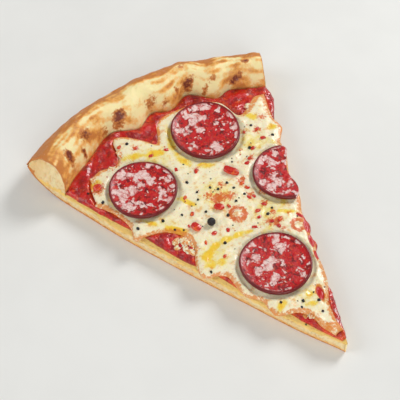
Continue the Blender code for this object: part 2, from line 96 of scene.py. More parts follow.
# The dough's tip, its cut sides and its outer wall. Pores are in mm, at the tip and in the rim
DOUGH_TIP = 1.2 * MM
TIP_ROUNDING = 0.6 * MM
SIDE_BELLY = 0.35 * MM
EDGE_BELLY = 0.8 * MM
CRUMB_DEPTH = 0.25 * MM
RIM_CRUMB_DEPTH = 0.95 * MM
CRUMB_SPAN = 2.6 * MM
PORE_SIZE = (1.6, 3.4)
PORE_SHARE = 0.35
SKIN_DEPTH = (0.25 * MM, 1.3 * MM)
RIM_SKIN_DEPTH = (0.8 * MM, 2.2 * MM)
SAUCED_DEPTH = 5 * MM
SAUCED_EDGE = (-3 * MM, -1 * MM)
RIM_FOOT_REACH = (-1 * MM, 2.5 * MM)
CUT_TOAST = 0.5
WALL_PALENESS = 0.6

# Fine relief of each surface: its broad span, its fine span, and the fine one's share
RIM_WRINKLE = (4.2 * MM, 1.9 * MM, 0.5)
SAUCE_PULP = (2.3 * MM, 1.1 * MM, 0.5)
CHEESE_RIPPLE = (3.4 * MM, 1.5 * MM, 0.45)
SALAMI_GRAIN = (3.0 * MM, 1.3 * MM, 0.7)


def clamp(x, low=0.0, high=1.0):
    return max(low, min(high, x))


def mix(a, b, s):
    return a + (b - a) * s


def smooth(low, high, x):
    """0 below low, 1 above high, and a soft step between them."""
    s = clamp((x - low) / (high - low))
    return s * s * (3 - 2 * s)


def slope_at(points, i):
    """Slope of the curve at one of its points, from the points on both sides."""
    x0, y0 = points[max(i - 1, 0)]
    x1, y1 = points[min(i + 1, len(points) - 1)]
    return (y1 - y0) / (x1 - x0)


def through(points, x):
    """Height at x of a smooth curve through the points, level beyond its ends."""
    if x <= points[0][0]:
        return points[0][1]
    if x >= points[-1][0]:
        return points[-1][1]
    i = max(k for k in range(len(points)) if points[k][0] <= x)
    (x0, y0), (x1, y1) = points[i], points[i + 1]
    width = x1 - x0
    s = (x - x0) / width
    rise = width * ((s**3 - 2 * s**2 + s) * slope_at(points, i) + (s**3 - s**2) * slope_at(points, i + 1))
    return y0 + (y1 - y0) * (3 * s**2 - 2 * s**3) + rise


def curve(*points):
    """A function that reads the smooth curve through the points from equal samples of it."""
    low = points[0][0]
    step = (points[-1][0] - low) / CURVE_SAMPLES
    heights = [through(points, low + k * step) for k in range(CURVE_SAMPLES + 1)]

    def read(x):
        place = clamp((x - low) / step, 0, CURVE_SAMPLES - 0.001)
        k = int(place)
        return mix(heights[k], heights[k + 1], place - k)

    return read


# Outer radius of the pie and inner foot of the rim: degrees from the centre line, radius in mm
PIE_EDGE = curve(
    (-23, 175.5), (-19, 177), (-12, 178), (1, 178), (6, 177.5), (13, 174.8), (18, 172.4), (24, 170.7),
)
RIM_FOOT = curve(
    (-23, 152), (-20, 154), (-15, 156), (-8.5, 160.5), (-3.6, 154), (0.3, 158.2), (4, 155), (8.5, 160),
    (12.8, 152), (16.3, 155), (19, 153.6), (23, 152.4),
)

# How far the knife's cut lies outside the wedge's left side and inside its right side: radius, mm
LEFT_BULGE = curve(
    (3, 0.3), (23, 1.9), (53, 2.4), (85, 2.9), (116, 2.6), (140, 1.2), (156, 0.2), (178, -0.6),
)
RIGHT_INSET = curve((3, 0.3), (30, 1.5), (110, 1.8), (135, 0.8), (152, -0.6), (178, -1.6))

# Sauce edges: how far inside the left cut, and inside the wedge's right side
SAUCE_LEFT = curve(
    (4, 0.5), (20, 1.3), (34, 2.4), (51, 1.2), (70, 2.4), (82, 1.2), (95, 1.6), (108, 2.4), (135, 1.2),
    (153, 0.9),
)
SAUCE_RIGHT = curve(
    (4, 0.5), (20, 0.4), (26, 0.4), (33, 1.6), (47, 2.0), (52, -0.2), (57.5, 2.0), (63, 0.2), (69, 2.4),
    (100, 2.2), (125, 1.4), (137, -0.9), (143, -2.2), (148, -1.6), (153, 0),
)
SAUCE_TIP = 3.2 * MM
SAUCE_RIM_GAP = 0.3 * MM
SAUCE_SWELL = (0.5 * MM, 1.7 * MM)
SAUCE_SWELL_REACH = (-0.6 * MM, 1.4 * MM)
SAUCE_LUMP_SPAN = 5.5 * MM
SAUCE_EDGE_REACH = 2.2 * MM
SAUCE_NOSE = 0.5 * MM
SEAM_REACH = (0.4 * MM, 2.4 * MM)

# Cheese edges: towards the rim by angle, then along both cuts by radius, as for the sauce
CHEESE_RIM = curve(
    (-23, 134), (-20, 143.5), (-16.6, 145.5), (-13.5, 142), (-11.3, 144), (-9.6, 154), (-7.6, 153),
    (-5.2, 145.5), (-3, 138.5), (0, 149), (3.6, 151.5), (10, 150), (14, 146), (16.3, 135.5), (19, 138.6),
    (21, 144.5), (23, 145.5),
)
CHEESE_LEFT = curve(
    (6, 0.8), (14, 2.4), (20, 4.8), (26, 3.6), (34, -3.3), (42, 0.4), (50, -1.4), (61, 3.6), (65.5, 1.6),
    (71, -3.6), (76.5, 1.4), (84, 10.4), (91, 12.0), (99, 8.8), (104, 3.6), (108.5, -3.3), (113, 2.4),
    (124, 4.6), (134, 3.0),
)
CHEESE_RIGHT = curve(
    (6, 1.4), (12, 3.4), (21, 4.0), (26, 2.8), (31, 1.6), (40, 1.6), (47, 2.4), (52, 1.6), (58, 2.6),
    (63, 2.0), (70, 3.0), (80, 1.6), (93, 3.2), (106, 1.4), (114, 2.2), (119, 0.4), (122.5, -0.8),
    (126, 0.4), (130, 2.4), (146, 2.8),
)
CHEESE_TIP = 6.5 * MM
CHEESE_NOSE = 0.8 * MM
CHEESE_BORDER = 0.05
CHEESE_BORDER_SHARE = 0.62
CHEESE_WAVE = 0.5 * MM
CHEESE_WAVE_SPAN = 9 * MM
CHEESE_BUBBLE_SIZE = 2 * MM
DRAPE_RADIUS = 3.0 * MM
DRAPE_START = 1.5 * MM

# The cheese round a sausage slice: the lip's height, where the seat ends, where the lip rises and falls
CHEESE_LIP = 0.35 * MM
SEAT_STEP = (0.2 * MM, 2.4 * MM)
LIP_RISE = (0.6 * MM, 2.2 * MM)
LIP_FALL = (2.2 * MM, 5.5 * MM)

# Slices of cured sausage: x, y and the two half widths, in mm
SALAMI = (
    (15.8, 130.5, 17.2, 18.2), (-29.7, 117.4, 16.3, 16.7), (32.5, 86.9, 16.2, 16.2),
    (-2.9, 48.6, 16.5, 16.4),
)
SALAMI_THICKNESS = 2.0 * MM
SALAMI_RUFFLE = 0.25 * MM
SALAMI_STEPS = 120
CUT_SALAMI = 2

# The wavy edge that the knife left on one sausage slice, with both corners rounded off, and what cuts it
CUT_EDGE = (
    (35.6, 105.5), (38.4, 102.6), (40.6, 100.0), (41.2, 98.0), (40.0, 96.0), (37.4, 93.0), (34.8, 89.5),
    (33.2, 86.5), (32.7, 83.0), (32.5, 79.2), (31.6, 76.2), (29.9, 73.9), (27.5, 72.4), (25.0, 71.2),
    (21.5, 70.2),
)
CUT_EDGE_STEPS = 8
CUTTER_OUTSIDE = ((60, 60), (60, 115))
CUTTER_DEPTH = 20 * MM

# Pieces of red pepper: x, y, length, width and height in mm, turn in degrees. Peppercorn: x, y and width
PEPPER_PIECES = (
    (-21.0, 85.8, 5.2, 3.7, 2.0, -78), (-5.6, 89.0, 4.8, 3.3, 2.0, -38),
    (11.6, 103.1, 8.4, 3.9, 2.2, -58), (-46.7, 131.2, 4.0, 3.8, 2.0, 0),
)
PEPPERCORN = (-13.8, 83.6, 4.0)

# Blisters on the rim: degrees, then radius, half length, half width and height in mm
RIM_BLISTERS = (
    (-6.0, 159, 8.0, 5.0, 1.1), (-13.3, 162, 9.0, 4.5, 0.9), (-19.0, 160, 6.0, 6.0, 1.0),
    (0.7, 163, 7.0, 5.0, 0.8), (8.5, 162, 8.0, 4.5, 1.0), (8.2, 168, 7.0, 5.0, 0.7),
    (13.5, 160, 7.0, 5.0, 0.8), (19.0, 160, 6.0, 5.0, 1.0),
)

# Scorched spots on the rim: degrees, radius, half length and half width in mm, darkness
RIM_SPOTS = (
    (-6.0, 160.5, 6.2, 4.4, 1.0), (-9.3, 161, 5.0, 2.2, 0.55), (-13.4, 161.5, 8.0, 3.4, 0.85),
    (-15.3, 157.5, 3.0, 2.4, 0.8), (-19.2, 158.5, 4.6, 4.6, 1.0), (0.7, 160, 6.0, 2.6, 0.6),
    (3.3, 157, 4.0, 1.6, 0.55), (6.2, 160, 2.6, 2.0, 0.7), (8.6, 161.5, 6.4, 2.6, 0.85),
    (11.2, 156, 4.0, 2.0, 0.6), (8.2, 168, 5.0, 2.4, 0.45), (13.0, 157, 4.0, 2.0, 0.6),
    (17.6, 156.5, 8.0, 2.4, 0.85), (20.0, 161, 4.0, 2.4, 0.8),
)

# Blisters in the cheese: x, y, radius and height in mm
CHEESE_BLISTERS = (
    (-0.3, 81.1, 4.2, 0.9), (8.0, 92.0, 5.0, 0.6), (-9.0, 108.0, 5.0, 0.6), (14.0, 71.0, 4.6, 0.7),
    (-18.0, 68.0, 4.4, 0.6), (31.0, 110.0, 4.0, 0.6), (4.0, 25.0, 3.4, 0.5),
)

# Pools of yellow oil on the cheese: x, y, half length and half width in mm, turn in degrees, strength
OIL_POOLS = (
    (-22.5, 138.0, 7.5, 2.8, -22, 0.9), (-12.5, 133.2, 7.0, 3.0, -22, 1.0),
    (1.0, 141.0, 6.0, 2.2, 70, 0.6), (-2.6, 134.0, 7.0, 2.6, 66, 0.7), (-4.6, 126.5, 5.0, 2.0, 86, 0.6),
    (-16.0, 100.5, 6.4, 1.8, -62, 0.9), (-36.5, 99.8, 6.0, 1.8, -58, 0.8),
    (-29.5, 90.6, 6.6, 2.2, -47, 1.0), (-25.2, 70.2, 5.0, 3.2, 28, 1.0), (-20.0, 72.2, 5.0, 2.6, 8, 1.0),
    (-13.6, 72.4, 5.4, 2.4, -4, 1.0), (-7.2, 71.4, 5.0, 2.0, -10, 0.9), (-2.6, 70.0, 4.0, 1.4, -20, 0.7),
    (-26.6, 65.6, 3.0, 3.6, 20, 0.8), (-22.1, 63.6, 3.2, 2.6, 0, 0.9), (-13.1, 30.4, 3.6, 2.2, 20, 0.9),
    (0.2, 28.2, 2.8, 2.4, 0, 0.7), (-1.8, 23.6, 4.2, 1.6, -20, 0.8), (40.6, 126.0, 4.6, 2.4, -60, 0.9),
    (45.2, 114.5, 3.4, 2.6, 0, 0.8), (19.0, 69.4, 7.0, 1.8, -34, 0.9), (-28.0, 67.2, 4.0, 1.8, 60, 0.7),
    (-44.0, 118.6, 3.0, 5.0, 0, 0.5), (-46.4, 133.6, 4.6, 3.2, 30, 0.7),
    (-3.6, 122.0, 7.0, 2.6, 108, 0.8), (3.4, 113.4, 6.0, 2.4, 150, 0.7),
    (29.0, 125.0, 6.0, 3.0, 110, 0.5), (38.6, 108.0, 5.0, 2.6, 120, 0.5), (22.0, 75.0, 6.0, 2.2, 30, 0.5),
    (6.0, 66.4, 5.0, 1.8, 20, 0.5),
)

# Paler yellow cheese over oil: x, y and reach in mm, strength
OIL_HAZE = (
    (-2.0, 96.0, 16, 0.55), (13.0, 75.0, 15, 0.5), (31.0, 112.0, 13, 0.55), (-14.0, 131.0, 16, 0.45),
    (-22.0, 70.0, 13, 0.5), (0.0, 26.0, 12, 0.4), (26.0, 62.0, 9, 0.4), (-32.0, 94.0, 12, 0.4),
    (0.0, 122.0, 12, 0.3),
)

# Golden-brown blistered cheese: x, y, half length, half width in mm, strength
CHEESE_SPOTS = (
    (-2.5, 93.6, 5.4, 3.6, 1.0), (2.2, 91.6, 4.0, 3.2, 0.9), (-5.6, 97.6, 3.6, 3.0, 0.7),
    (3.4, 99.4, 3.4, 2.6, 0.6), (-0.3, 81.1, 5.0, 5.0, 0.9), (13.2, 96.4, 3.2, 2.6, 0.8),
    (11.0, 86.4, 3.4, 2.4, 0.8), (13.6, 79.0, 3.0, 2.6, 0.7), (12.2, 67.6, 4.6, 3.0, 0.9),
    (8.6, 69.6, 2.8, 2.2, 0.7), (22.4, 61.4, 4.6, 3.2, 0.9), (24.6, 104.4, 3.0, 3.0, 0.7),
    (37.4, 117.2, 3.2, 2.6, 0.7), (31.6, 119.6, 2.6, 3.2, 0.6), (-18.6, 141.8, 3.0, 2.6, 0.6),
    (-1.0, 114.0, 2.6, 2.0, 0.6), (44.6, 122.4, 3.4, 2.4, 0.6), (-2.0, 11.0, 2.8, 2.0, 0.6),
    (13.7, 72.5, 2.6, 1.8, 0.8), (13.5, 67.7, 2.4, 2.0, 0.9), (12.0, 62.6, 2.2, 1.6, 0.7),
    (20.2, 67.9, 2.4, 1.4, 0.7), (17.1, 85.7, 2.2, 2.6, 0.6), (-46.7, 131.2, 4.4, 4.2, 0.8),
)

# Burst blisters with a browned ring and a pale middle: x, y and radius in mm
CHEESE_RINGS = ((-0.3, 81.1, 3.6), (19.2, 60.1, 2.9))

# Where the cheese thins out and its colour turns: from the tip in mm, at its edge, and where it hangs down
STAINED_TIP = (8, 16)
THIN_EDGE = (-2.4 * MM, -0.4 * MM)
THIN_DRIP = (-0.6 * MM, 1.6 * MM)

# Sauce over or through the cheese: x, y, half length, half width in mm, turn in degrees
HOLE_DEPTH = 0.9 * MM
CHEESE_HOLES = (
    (4.4, 25.8, 4.6, 2.0, 68), (23.4, 64.3, 2.6, 1.1, -64), (21.8, 57.7, 4.6, 1.3, 66),
    (18.6, 49.9, 4.6, 1.4, 68), (15.6, 42.7, 3.2, 1.0, 66), (24.2, 61.3, 1.8, 0.9, 80),
)

# Curds of melted cheese in the bare sauce: x, y, half width and height in mm
CURDS = (
    (-31.6, 85.2, 2.0, 0.9), (-29.0, 83.0, 2.4, 1.1), (-27.4, 79.6, 1.8, 0.8), (-33.6, 82.4, 1.6, 0.7),
    (-31.0, 79.6, 1.5, 0.7), (-29.8, 76.4, 1.7, 0.8), (-26.6, 76.0, 1.3, 0.6), (-26.2, 143.6, 2.0, 0.8),
    (-28.4, 141.4, 1.8, 0.8), (-35.4, 137.4, 1.8, 0.8), (-45.6, 136.6, 1.6, 0.7), (44.6, 133.0, 1.8, 0.8),
    (-5.0, 19.4, 1.6, 0.7), (-7.4, 21.0, 1.3, 0.6),
)

# Grains of black pepper and flakes of chilli over the slice, as in the solids: x and y in mm
PEPPER_GRAINS = (
    (-20.5, 146.3), (-8.9, 102.4), (-11.2, 98.3), (-22.3, 95.4), (-12.1, 90.4), (-31.5, 97.6),
    (-29.4, 90.7), (-26.2, 88.1), (-29.2, 62.1), (-14.9, 71.2), (-43.5, 100.5), (36.8, 121.0),
    (41.9, 109.9), (27.6, 109.8), (15.4, 107.6), (6.9, 94.3), (-2.5, 100.8), (0.3, 98.1), (5.9, 98.6),
    (8.9, 88.5), (3.2, 87.5), (-4.6, 83.1), (14.7, 74.6), (11.0, 72.9), (-13.0, 31.7), (-4.4, 26.9),
    (-6.8, 24.6), (1.5, 23.1), (-0.6, 17.8), (-48.7, 122.9), (-51.5, 132.0), (-9.8, 109.5),
)
CHILLI_FLAKES = (
    (-18.6, 141.9), (-6.8, 132.1), (-14.9, 133.2), (-9.7, 119.0), (-2.1, 113.0), (-15.6, 102.7),
    (-18.1, 93.2), (-23.1, 88.4), (-15.9, 78.6), (-9.6, 76.2), (-21.8, 76.6), (-19.2, 65.2),
    (31.4, 119.5), (37.9, 117.4), (36.8, 111.1), (29.0, 108.8), (21.0, 102.9), (24.0, 104.6),
    (11.8, 94.5), (12.3, 91.2), (9.6, 85.9), (11.9, 85.0), (-1.2, 87.1), (13.0, 78.6), (8.2, 77.0),
    (6.6, 73.9), (1.6, 70.5), (10.2, 68.7), (13.9, 67.4), (11.1, 64.6), (-24.8, 146.9),
)
FLAKE_SIZE = (2.6 * MM, 1.7 * MM, 1.3 * MM)
GRAIN_SIZE = (1.5 * MM, 1.3 * MM, 1.3 * MM)
FLAKE_SCALE = (0.8, 1.1)

# Nearer than this to the cheese's edge, a pepper piece or a sausage slice, they are smaller and no solids
FLAKE_MARGIN = 2.0 * MM
PIECE_MARGIN = 2.0 * MM
SEAT_MARGIN = 2.47 * MM
OFF_CHEESE_SCALE = 0.75

# Fine ground pepper and chilli over the whole top: x, y and spread in mm, count
DUST_ZONES = (
    (0, 92, 26, 34), (-15, 125, 22, 16), (28, 112, 14, 12), (5, 55, 18, 10), (0, 25, 10, 8),
    (10, 160, 30, 6),
)
DUST_SIZE = (0.35 * MM, 0.75 * MM)
DUST_MARGIN = 0.6 * MM
DUST_RED_SHARE = 0.4

# Camera: where it looks, from what angle, and its lens
CAMERA_TARGET = (-5.7 * MM, 15.5 * MM, 0)
CAMERA_AZIMUTH = math.radians(-34.82)
CAMERA_ELEVATION = math.radians(54)
CAMERA_DISTANCE = 0.482
CAMERA_LENS = 89.1
CAMERA_SENSOR = 36

# Soft lights: place and width in metres, and power in watts. Then the brightness of the room around
LIGHTS = {
    "key_light": ((0.80, 0.15, 0.68), 0.4, 6.6),
    "fill_light": ((-0.50, -0.95, 0.5), 1.0, 7.0),
    "side_light": ((-0.75, 0.45, 0.6), 0.8, 3.4),
}
ROOM_BRIGHTNESS = 0.28


def linear(red, green, blue):
    """A colour of a screen's 0 to 255 values as the values that materials take."""
    parts = [value / 255 for value in (red, green, blue)]
    return tuple(c / 12.92 if c <= 0.04045 else ((c + 0.055) / 1.055) ** 2.4 for c in parts)


def colour_property(name, description, *screen):
    return FloatVectorProperty(
        name=name, description=description, subtype="COLOR", size=3, min=0, max=1, default=linear(*screen)
    )


def depth_property(name, description, millimetres):
    return FloatProperty(
        name=name, description=description, default=millimetres * MM, min=0, max=3 * MM, unit="LENGTH",
        precision=5,
    )


def count_property(name, description, count):
    return IntProperty(name=name, description=description, default=count, min=1, max=3 * count)


class PizzaSizes(bpy.types.PropertyGroup):
    rim_wrinkles: depth_property("Rim wrinkles", "Height of the uneven places in the rim's skin", 0.42)
    rim_bubbles: depth_property("Rim bubbles", "Height of the small bubbles baked into the rim", 0.55)
    crumb_pores: depth_property("Crumb pores", "Depth of the holes in the cut crumb of the rim", 1.5)
    sauce_lumps: depth_property("Sauce lumps", "Height of the pulp in the bare sauce", 0.55)
    cheese_ripples: depth_property("Cheese ripples", "Height of the small waves in the melted cheese", 0.42)
    cheese_bubbles: depth_property("Cheese bubbles", "Height of the small bubbles in the cheese", 0.28)
    salami_cup: depth_property("Sausage cup", "How far the edge of each sausage slice stands up", 0.9)
    salami_grain: depth_property("Sausage grain", "Height of the grain on each sausage slice", 0.16)
    rim_bubble_count: count_property("Rim bubble count", "Small bubbles along the rim", 70)
    cheese_bubble_count: count_property("Cheese bubble count", "Small bubbles over the cheese", 130)
    floor_side: FloatProperty(
        name="Floor side", description="Side of the plain floor", default=3, min=1, unit="LENGTH"
    )


class PizzaColours(bpy.types.PropertyGroup):
    crust_pale: colour_property("Pale crust", "Where the rim baked least", 250, 232, 172)
    crust_golden: colour_property("Golden crust", "Most of the rim", 242, 178, 90)
    crust_brown: colour_property("Brown crust", "Where the rim baked most", 202, 126, 58)
    crust_scorched: colour_property("Scorched crust", "The spots on the rim", 122, 50, 24)
    crumb: colour_property("Crumb", "The cut faces of the dough", 244, 222, 172)
    # This colour is both the crumb's tan and the painted shade in its pores
    crumb_deep: colour_property("Deep crumb", "Inside the crumb's holes", 226, 176, 104)
    crumb_oily: colour_property("Oily crumb", "The cut face just under the sauce", 250, 204, 98)
    flour: colour_property("Flour", "Dusting on the rim", 250, 246, 236)
    sauce: colour_property("Sauce", "Most of the tomato sauce", 200, 14, 14)
    sauce_deep: colour_property("Deep sauce", "Thick and dark places in the sauce", 150, 2, 8)
    sauce_bright: colour_property("Bright sauce", "Pulp and thin places in the sauce", 236, 96, 34)
    cheese: colour_property("Cheese", "Most of the melted cheese", 246, 236, 200)
    cheese_pale: colour_property("Yellow cheese", "Cheese tinted by oil", 242, 222, 112)
    cheese_oil: colour_property("Oily cheese", "Pools of yellow oil", 248, 204, 48)
    cheese_brown: colour_property("Browned cheese", "Blistered places", 218, 98, 22)
    cheese_rind: colour_property("Thin cheese", "Its thin edge, with oil and sauce below", 226, 138, 48)
    salami_red: colour_property("Sausage red", "Lean meat", 196, 14, 24)
    # Dark lean meat, the browned crest and the painted shade down each slice's side; also the pepper's dark
    # specks
    salami_dark: colour_property("Sausage dark", "Lean meat at the edge", 104, 2, 10)
    salami_fat: colour_property("Sausage fat", "Pieces of fat", 240, 212, 204)
    pepper_red: colour_property("Red pepper", "Pieces of pepper and chilli", 206, 30, 18)
    pepper_orange: colour_property("Orange pepper", "Pale flesh and thin chilli", 232, 104, 40)
    peppercorn: colour_property("Peppercorn", "Black pepper", 22, 15, 17)
    peppercorn_pale: colour_property("Pale pepper", "Dust in the black pepper's wrinkles", 183, 171, 166)
    floor: colour_property("Floor", "The plain floor", 234, 234, 230)


# Outlines


def in_frame(x, y):
    """A place of the tables in the part's frame."""
    return x * MM, y * MM + TIP_Y


def edge(outline, position):
    """An outline's value in metres at a radius in metres."""
    return outline(position / MM) * MM


def ring_edge(outline, angle):
    """A radius in metres at an angle in radians."""
    return outline(math.degrees(angle)) * MM


def left_angle(r):
    """Angle of the left cut at this radius."""
    return -HALF_WEDGE - edge(LEFT_BULGE, r) / r


def right_angle(r):
    """Angle of the right cut at this radius."""
    return HALF_WEDGE - edge(RIGHT_INSET, r) / r


def plan(r, angle):
    """x and y of the place at this radius and angle from the tip."""
    return r * math.sin(angle), TIP_Y + r * math.cos(angle)


def polar(x, y):
    """Radius and angle from the tip of the place at x and y."""
    return math.hypot(x, y - TIP_Y), math.atan2(x, y - TIP_Y)


def bump(x, y, centre_x, centre_y, half_x, half_y):
    """1 at the centre, falling softly to 0 at the half widths."""
    d = math.hypot((x - centre_x) / half_x, (y - centre_y) / half_y)
    return 1 - smooth(0, 1, d) if d < 1 else 0.0


def turned_bump(x, y, centre_x, centre_y, half_x, half_y, degrees):
    """A bump in mm whose length lies at this angle from the x axis, with a fuller middle."""
    c, s = math.cos(math.radians(degrees)), math.sin(math.radians(degrees))
    dx, dy = x - centre_x, y - centre_y
    d = math.hypot((c * dx + s * dy) / half_x, (c * dy - s * dx) / half_y)
    return 1 - smooth(0.3, 1.25, d)


def dome(x, y, centre_x, centre_y, radius):
    """A round swelling with a definite edge."""
    d = ((x - centre_x) ** 2 + (y - centre_y) ** 2) / (radius * radius)
    return (1 - d) ** 0.7 if d < 1 else 0.0


def unevenness(place, broad, fine, share):
    """Noise of a broad span with a share of noise of a fine span over it."""
    return noise.noise(place / broad) + share * noise.noise(place / fine)


def stations(*stretches):
    """Places from 0 to 1: each stretch is its end and the number of equal steps up to it."""
    places = [0.0]
    for end, steps in stretches:
        start = places[-1]
        places += [mix(start, end, k / steps) for k in range(1, steps + 1)]
    return places


def cheese_left_inset(r):
    return edge(CHEESE_LEFT, r)


def cheese_right_inset(r):
    return edge(CHEESE_RIGHT, r) - edge(RIGHT_INSET, r)


def bare_depth(r, angle):
    """How far this place lies outside the cheese, negative under it."""
    past_rim = r - ring_edge(CHEESE_RIM, angle)
    past_left = cheese_left_inset(r) - (angle - left_angle(r)) * r
    past_right = cheese_right_inset(r) - (right_angle(r) - angle) * r
    return max(past_rim, past_left, past_right)


# Meshes


def lattice(cuts, form, marks=()):
    """A closed block with a corner at each station along its sides, every corner moved and marked by form.

    The forms lay its first side along y and its second along x, which turns the faces round.
    """
    bm = bmesh.new()
    bmesh.ops.create_cube(bm, size=1, matrix=Matrix.Translation((0.5, 0.5, 0.5)))
    for axis, places in enumerate(cuts):
        whole = [line for line in bm.edges if abs(line.verts[0].co[axis] - line.verts[1].co[axis]) > 0.5]
        if len(places) > 2:
            bmesh.ops.subdivide_edges(bm, edges=whole, cuts=len(places) - 2, use_grid_fill=True)
    layers = [bm.verts.layers.float.new(name) for name in marks]
    for vert in bm.verts:
        at = [places[round(share * (len(places) - 1))] for share, places in zip(vert.co, cuts)]
        vert.co, values = form(*at)
        for layer, value in zip(layers, values):
            vert[layer] = value
    bmesh.ops.reverse_faces(bm, faces=bm.faces)
    return bm


def merge_level(bm, height):
    """Joins the small faces that lie level at this height, which nothing shows, into one."""
    level = [face for face in bm.faces if all(abs(vert.co.z - height) < 0.001 * MM for vert in face.verts)]
    bmesh.ops.dissolve_faces(bm, faces=level)


def add_piece(name, bm, material, slot, *nodes):
    """Turns the working mesh into a piece of the slice that stands for these solids."""
    mesh = bpy.data.meshes.new(name)
    bm.to_mesh(mesh)
    bm.free()
    mesh.shade_smooth()
    mesh.materials.append(material)
    piece = bpy.data.objects.new(name, mesh)
    bpy.context.scene.collection.objects.link(piece)
    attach(piece, "root")
    if nodes:
        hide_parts(*nodes)
    return piece


def finish_of(name):
    """The material of a piece made before."""
    return bpy.data.objects[name].data.materials[0]


# Shader nodes


class Nodes:
    """A node tree being built, with short ways to add to it."""

    def __init__(self, tree):
        self.tree = tree

    def feed(self, socket, value):
        """Links an output to a socket, or sets the socket's own value."""
        if isinstance(value, bpy.types.NodeSocket):
            self.tree.links.new(value, socket)
        elif socket.type == "RGBA":
            socket.default_value = (*value, 1)
        else:
            socket.default_value = value

    def add(self, kind, values=None, **settings):
        made = self.tree.nodes.new(kind)
        for name, value in settings.items():
            setattr(made, name, value)
        for key, value in (values or {}).items():
            self.feed(made.inputs[key], value)
        return made

    def compute(self, operation, a, b):
        return self.add("ShaderNodeMath", {0: a, 1: b}, operation=operation).outputs[0]

    def plus(self, a, b):
        return self.compute("ADD", a, b)

    def times(self, a, b):
        return self.compute("MULTIPLY", a, b)

    def most(self, a, b):
        return self.compute("MAXIMUM", a, b)

    def swing(self, mask, span):
        """A mask turned into a value that swings over this span, half of it each way from 0."""
        return self.times(self.compute("SUBTRACT", mask, 0.5), span)

    def blend(self, share, a, b):
        """One colour into another. A mix node's sockets for colours come after its others."""
        return self.add("ShaderNodeMix", {0: share, 6: a, 7: b}, data_type="RGBA").outputs[2]

    def soft_step(self, value, low, high, bottom=0.0, top=1.0):
        values = {"Value": value, "From Min": low, "From Max": high, "To Min": bottom, "To Max": top}
        return self.add("ShaderNodeMapRange", values, interpolation_type="SMOOTHSTEP").outputs["Result"]


class Group(Nodes):
    """A shared node group, which takes a place in mm and some numbers and gives one value."""

    def __init__(self, name, *numbers):
        super().__init__(bpy.data.node_groups.new(name, "ShaderNodeTree"))
        for label in ("Place", *numbers):
            kind = "NodeSocketVector" if label == "Place" else "NodeSocketFloat"
            self.tree.interface.new_socket(name=label, in_out="INPUT", socket_type=kind)
        self.tree.interface.new_socket(name="Value", in_out="OUTPUT", socket_type="NodeSocketFloat")
        self.given = self.add("NodeGroupInput").outputs
        self.result = self.add("NodeGroupOutput").inputs["Value"]

    def per_size(self, cells):
        """The scale of a texture that has this many cells in the given size."""
        return self.compute("DIVIDE", cells, self.given["Size"])


def mottle_group(name):
    """Patches of noise: 1 where it is high and 0 where it is low, with features of Size mm."""
    group = Group(name, "Size", "Low", "High")
    values = {"Vector": group.given["Place"], "Scale": group.per_size(1.0), "Detail": 3.0, "Roughness": 0.6}
    cloud = group.add("ShaderNodeTexNoise", values).outputs["Fac"]
    group.feed(group.result, group.soft_step(cloud, group.given["Low"], group.given["High"]))
    return group.tree


def speck_group(name):
    """Round specks: one in each cell of Size mm, for this Share of cells, its Reach a share of the cell."""
    group = Group(name, "Size", "Share", "Reach")
    values = {"Vector": group.given["Place"], "Scale": group.per_size(1.0)}
    cells = group.add("ShaderNodeTexVoronoi", values)
    chance = group.add("ShaderNodeSeparateColor", {0: cells.outputs["Color"]}).outputs[0]
    kept = group.compute("LESS_THAN", chance, group.given["Share"])
    reach = group.given["Reach"]
    near = group.soft_step(cells.outputs["Distance"], reach, group.times(reach, 0.6))
    group.feed(group.result, group.times(kept, near))
    return group.tree


def grain_group(name):
    """Height of a fine uneven surface in mm: broad noise of Size mm, and fine noise over it."""
    group = Group(name, "Size", "Broad", "Fine")
    heights = []
    for cells, height in ((1.0, "Broad"), (3.6, "Fine")):
        values = {"Vector": group.given["Place"], "Scale": group.per_size(cells), "Detail": 3.0}
        cloud = group.add("ShaderNodeTexNoise", values).outputs["Fac"]
        heights.append(group.times(cloud, group.given[height]))
    group.feed(group.result, group.plus(*heights))
    return group.tree


class Finish(Nodes):
    """A material being made: its nodes, its shader, and places on the piece in mm."""

    def __init__(self, name, **numbers):
        self.material = bpy.data.materials.new(name)
        self.material.use_nodes = True
        super().__init__(self.material.node_tree)
        self.shader = self.tree.nodes["Principled BSDF"]
        scaled = {0: self.add("ShaderNodeTexCoord").outputs["Object"], "Scale": 1 / MM}
        self.place = self.add("ShaderNodeVectorMath", scaled, operation="SCALE").outputs[0]
        for label, value in numbers.items():
            self.shader.inputs[label.replace("_", " ")].default_value = value

    def marked(self, name):
        """The value that the form left on each corner of the mesh."""
        return self.add("ShaderNodeAttribute", attribute_name=name).outputs["Fac"]

    def use_group(self, make, *values):
        """Places a shared group, made on its first use, with these values in the order of its inputs."""
        shared = bpy.data.node_groups.get(make.__name__) or make(make.__name__)
        placed = self.add("ShaderNodeGroup", node_tree=shared)
        for socket, value in zip(placed.inputs, values):
            self.feed(socket, value)
        return placed.outputs[0]

    def mottle(self, size, low, high, place=None):
        return self.use_group(mottle_group, self.place if place is None else place, size, low, high)

    def specks(self, place, size, share, reach):
        return self.use_group(speck_group, place, size, share, reach)

    def grain(self, size, broad, fine):
        return self.use_group(grain_group, self.place, size, broad, fine)

    def finish(self, colour, roughness, height, coat=None):
        """Connects colour, roughness and the surface's height in mm, and the coat of a wet piece."""
        for label, value in (("Base Color", colour), ("Roughness", roughness), ("Coat Weight", coat)):
            if value is not None:
                self.feed(self.shader.inputs[label], value)
        relief = self.add("ShaderNodeBump", {"Height": height, "Distance": MM, "Strength": 1.0})
        self.feed(self.shader.inputs["Normal"], relief.outputs["Normal"])
        return self.material


# Materials. A patch's numbers are its size in mm, then where it starts and where it is full


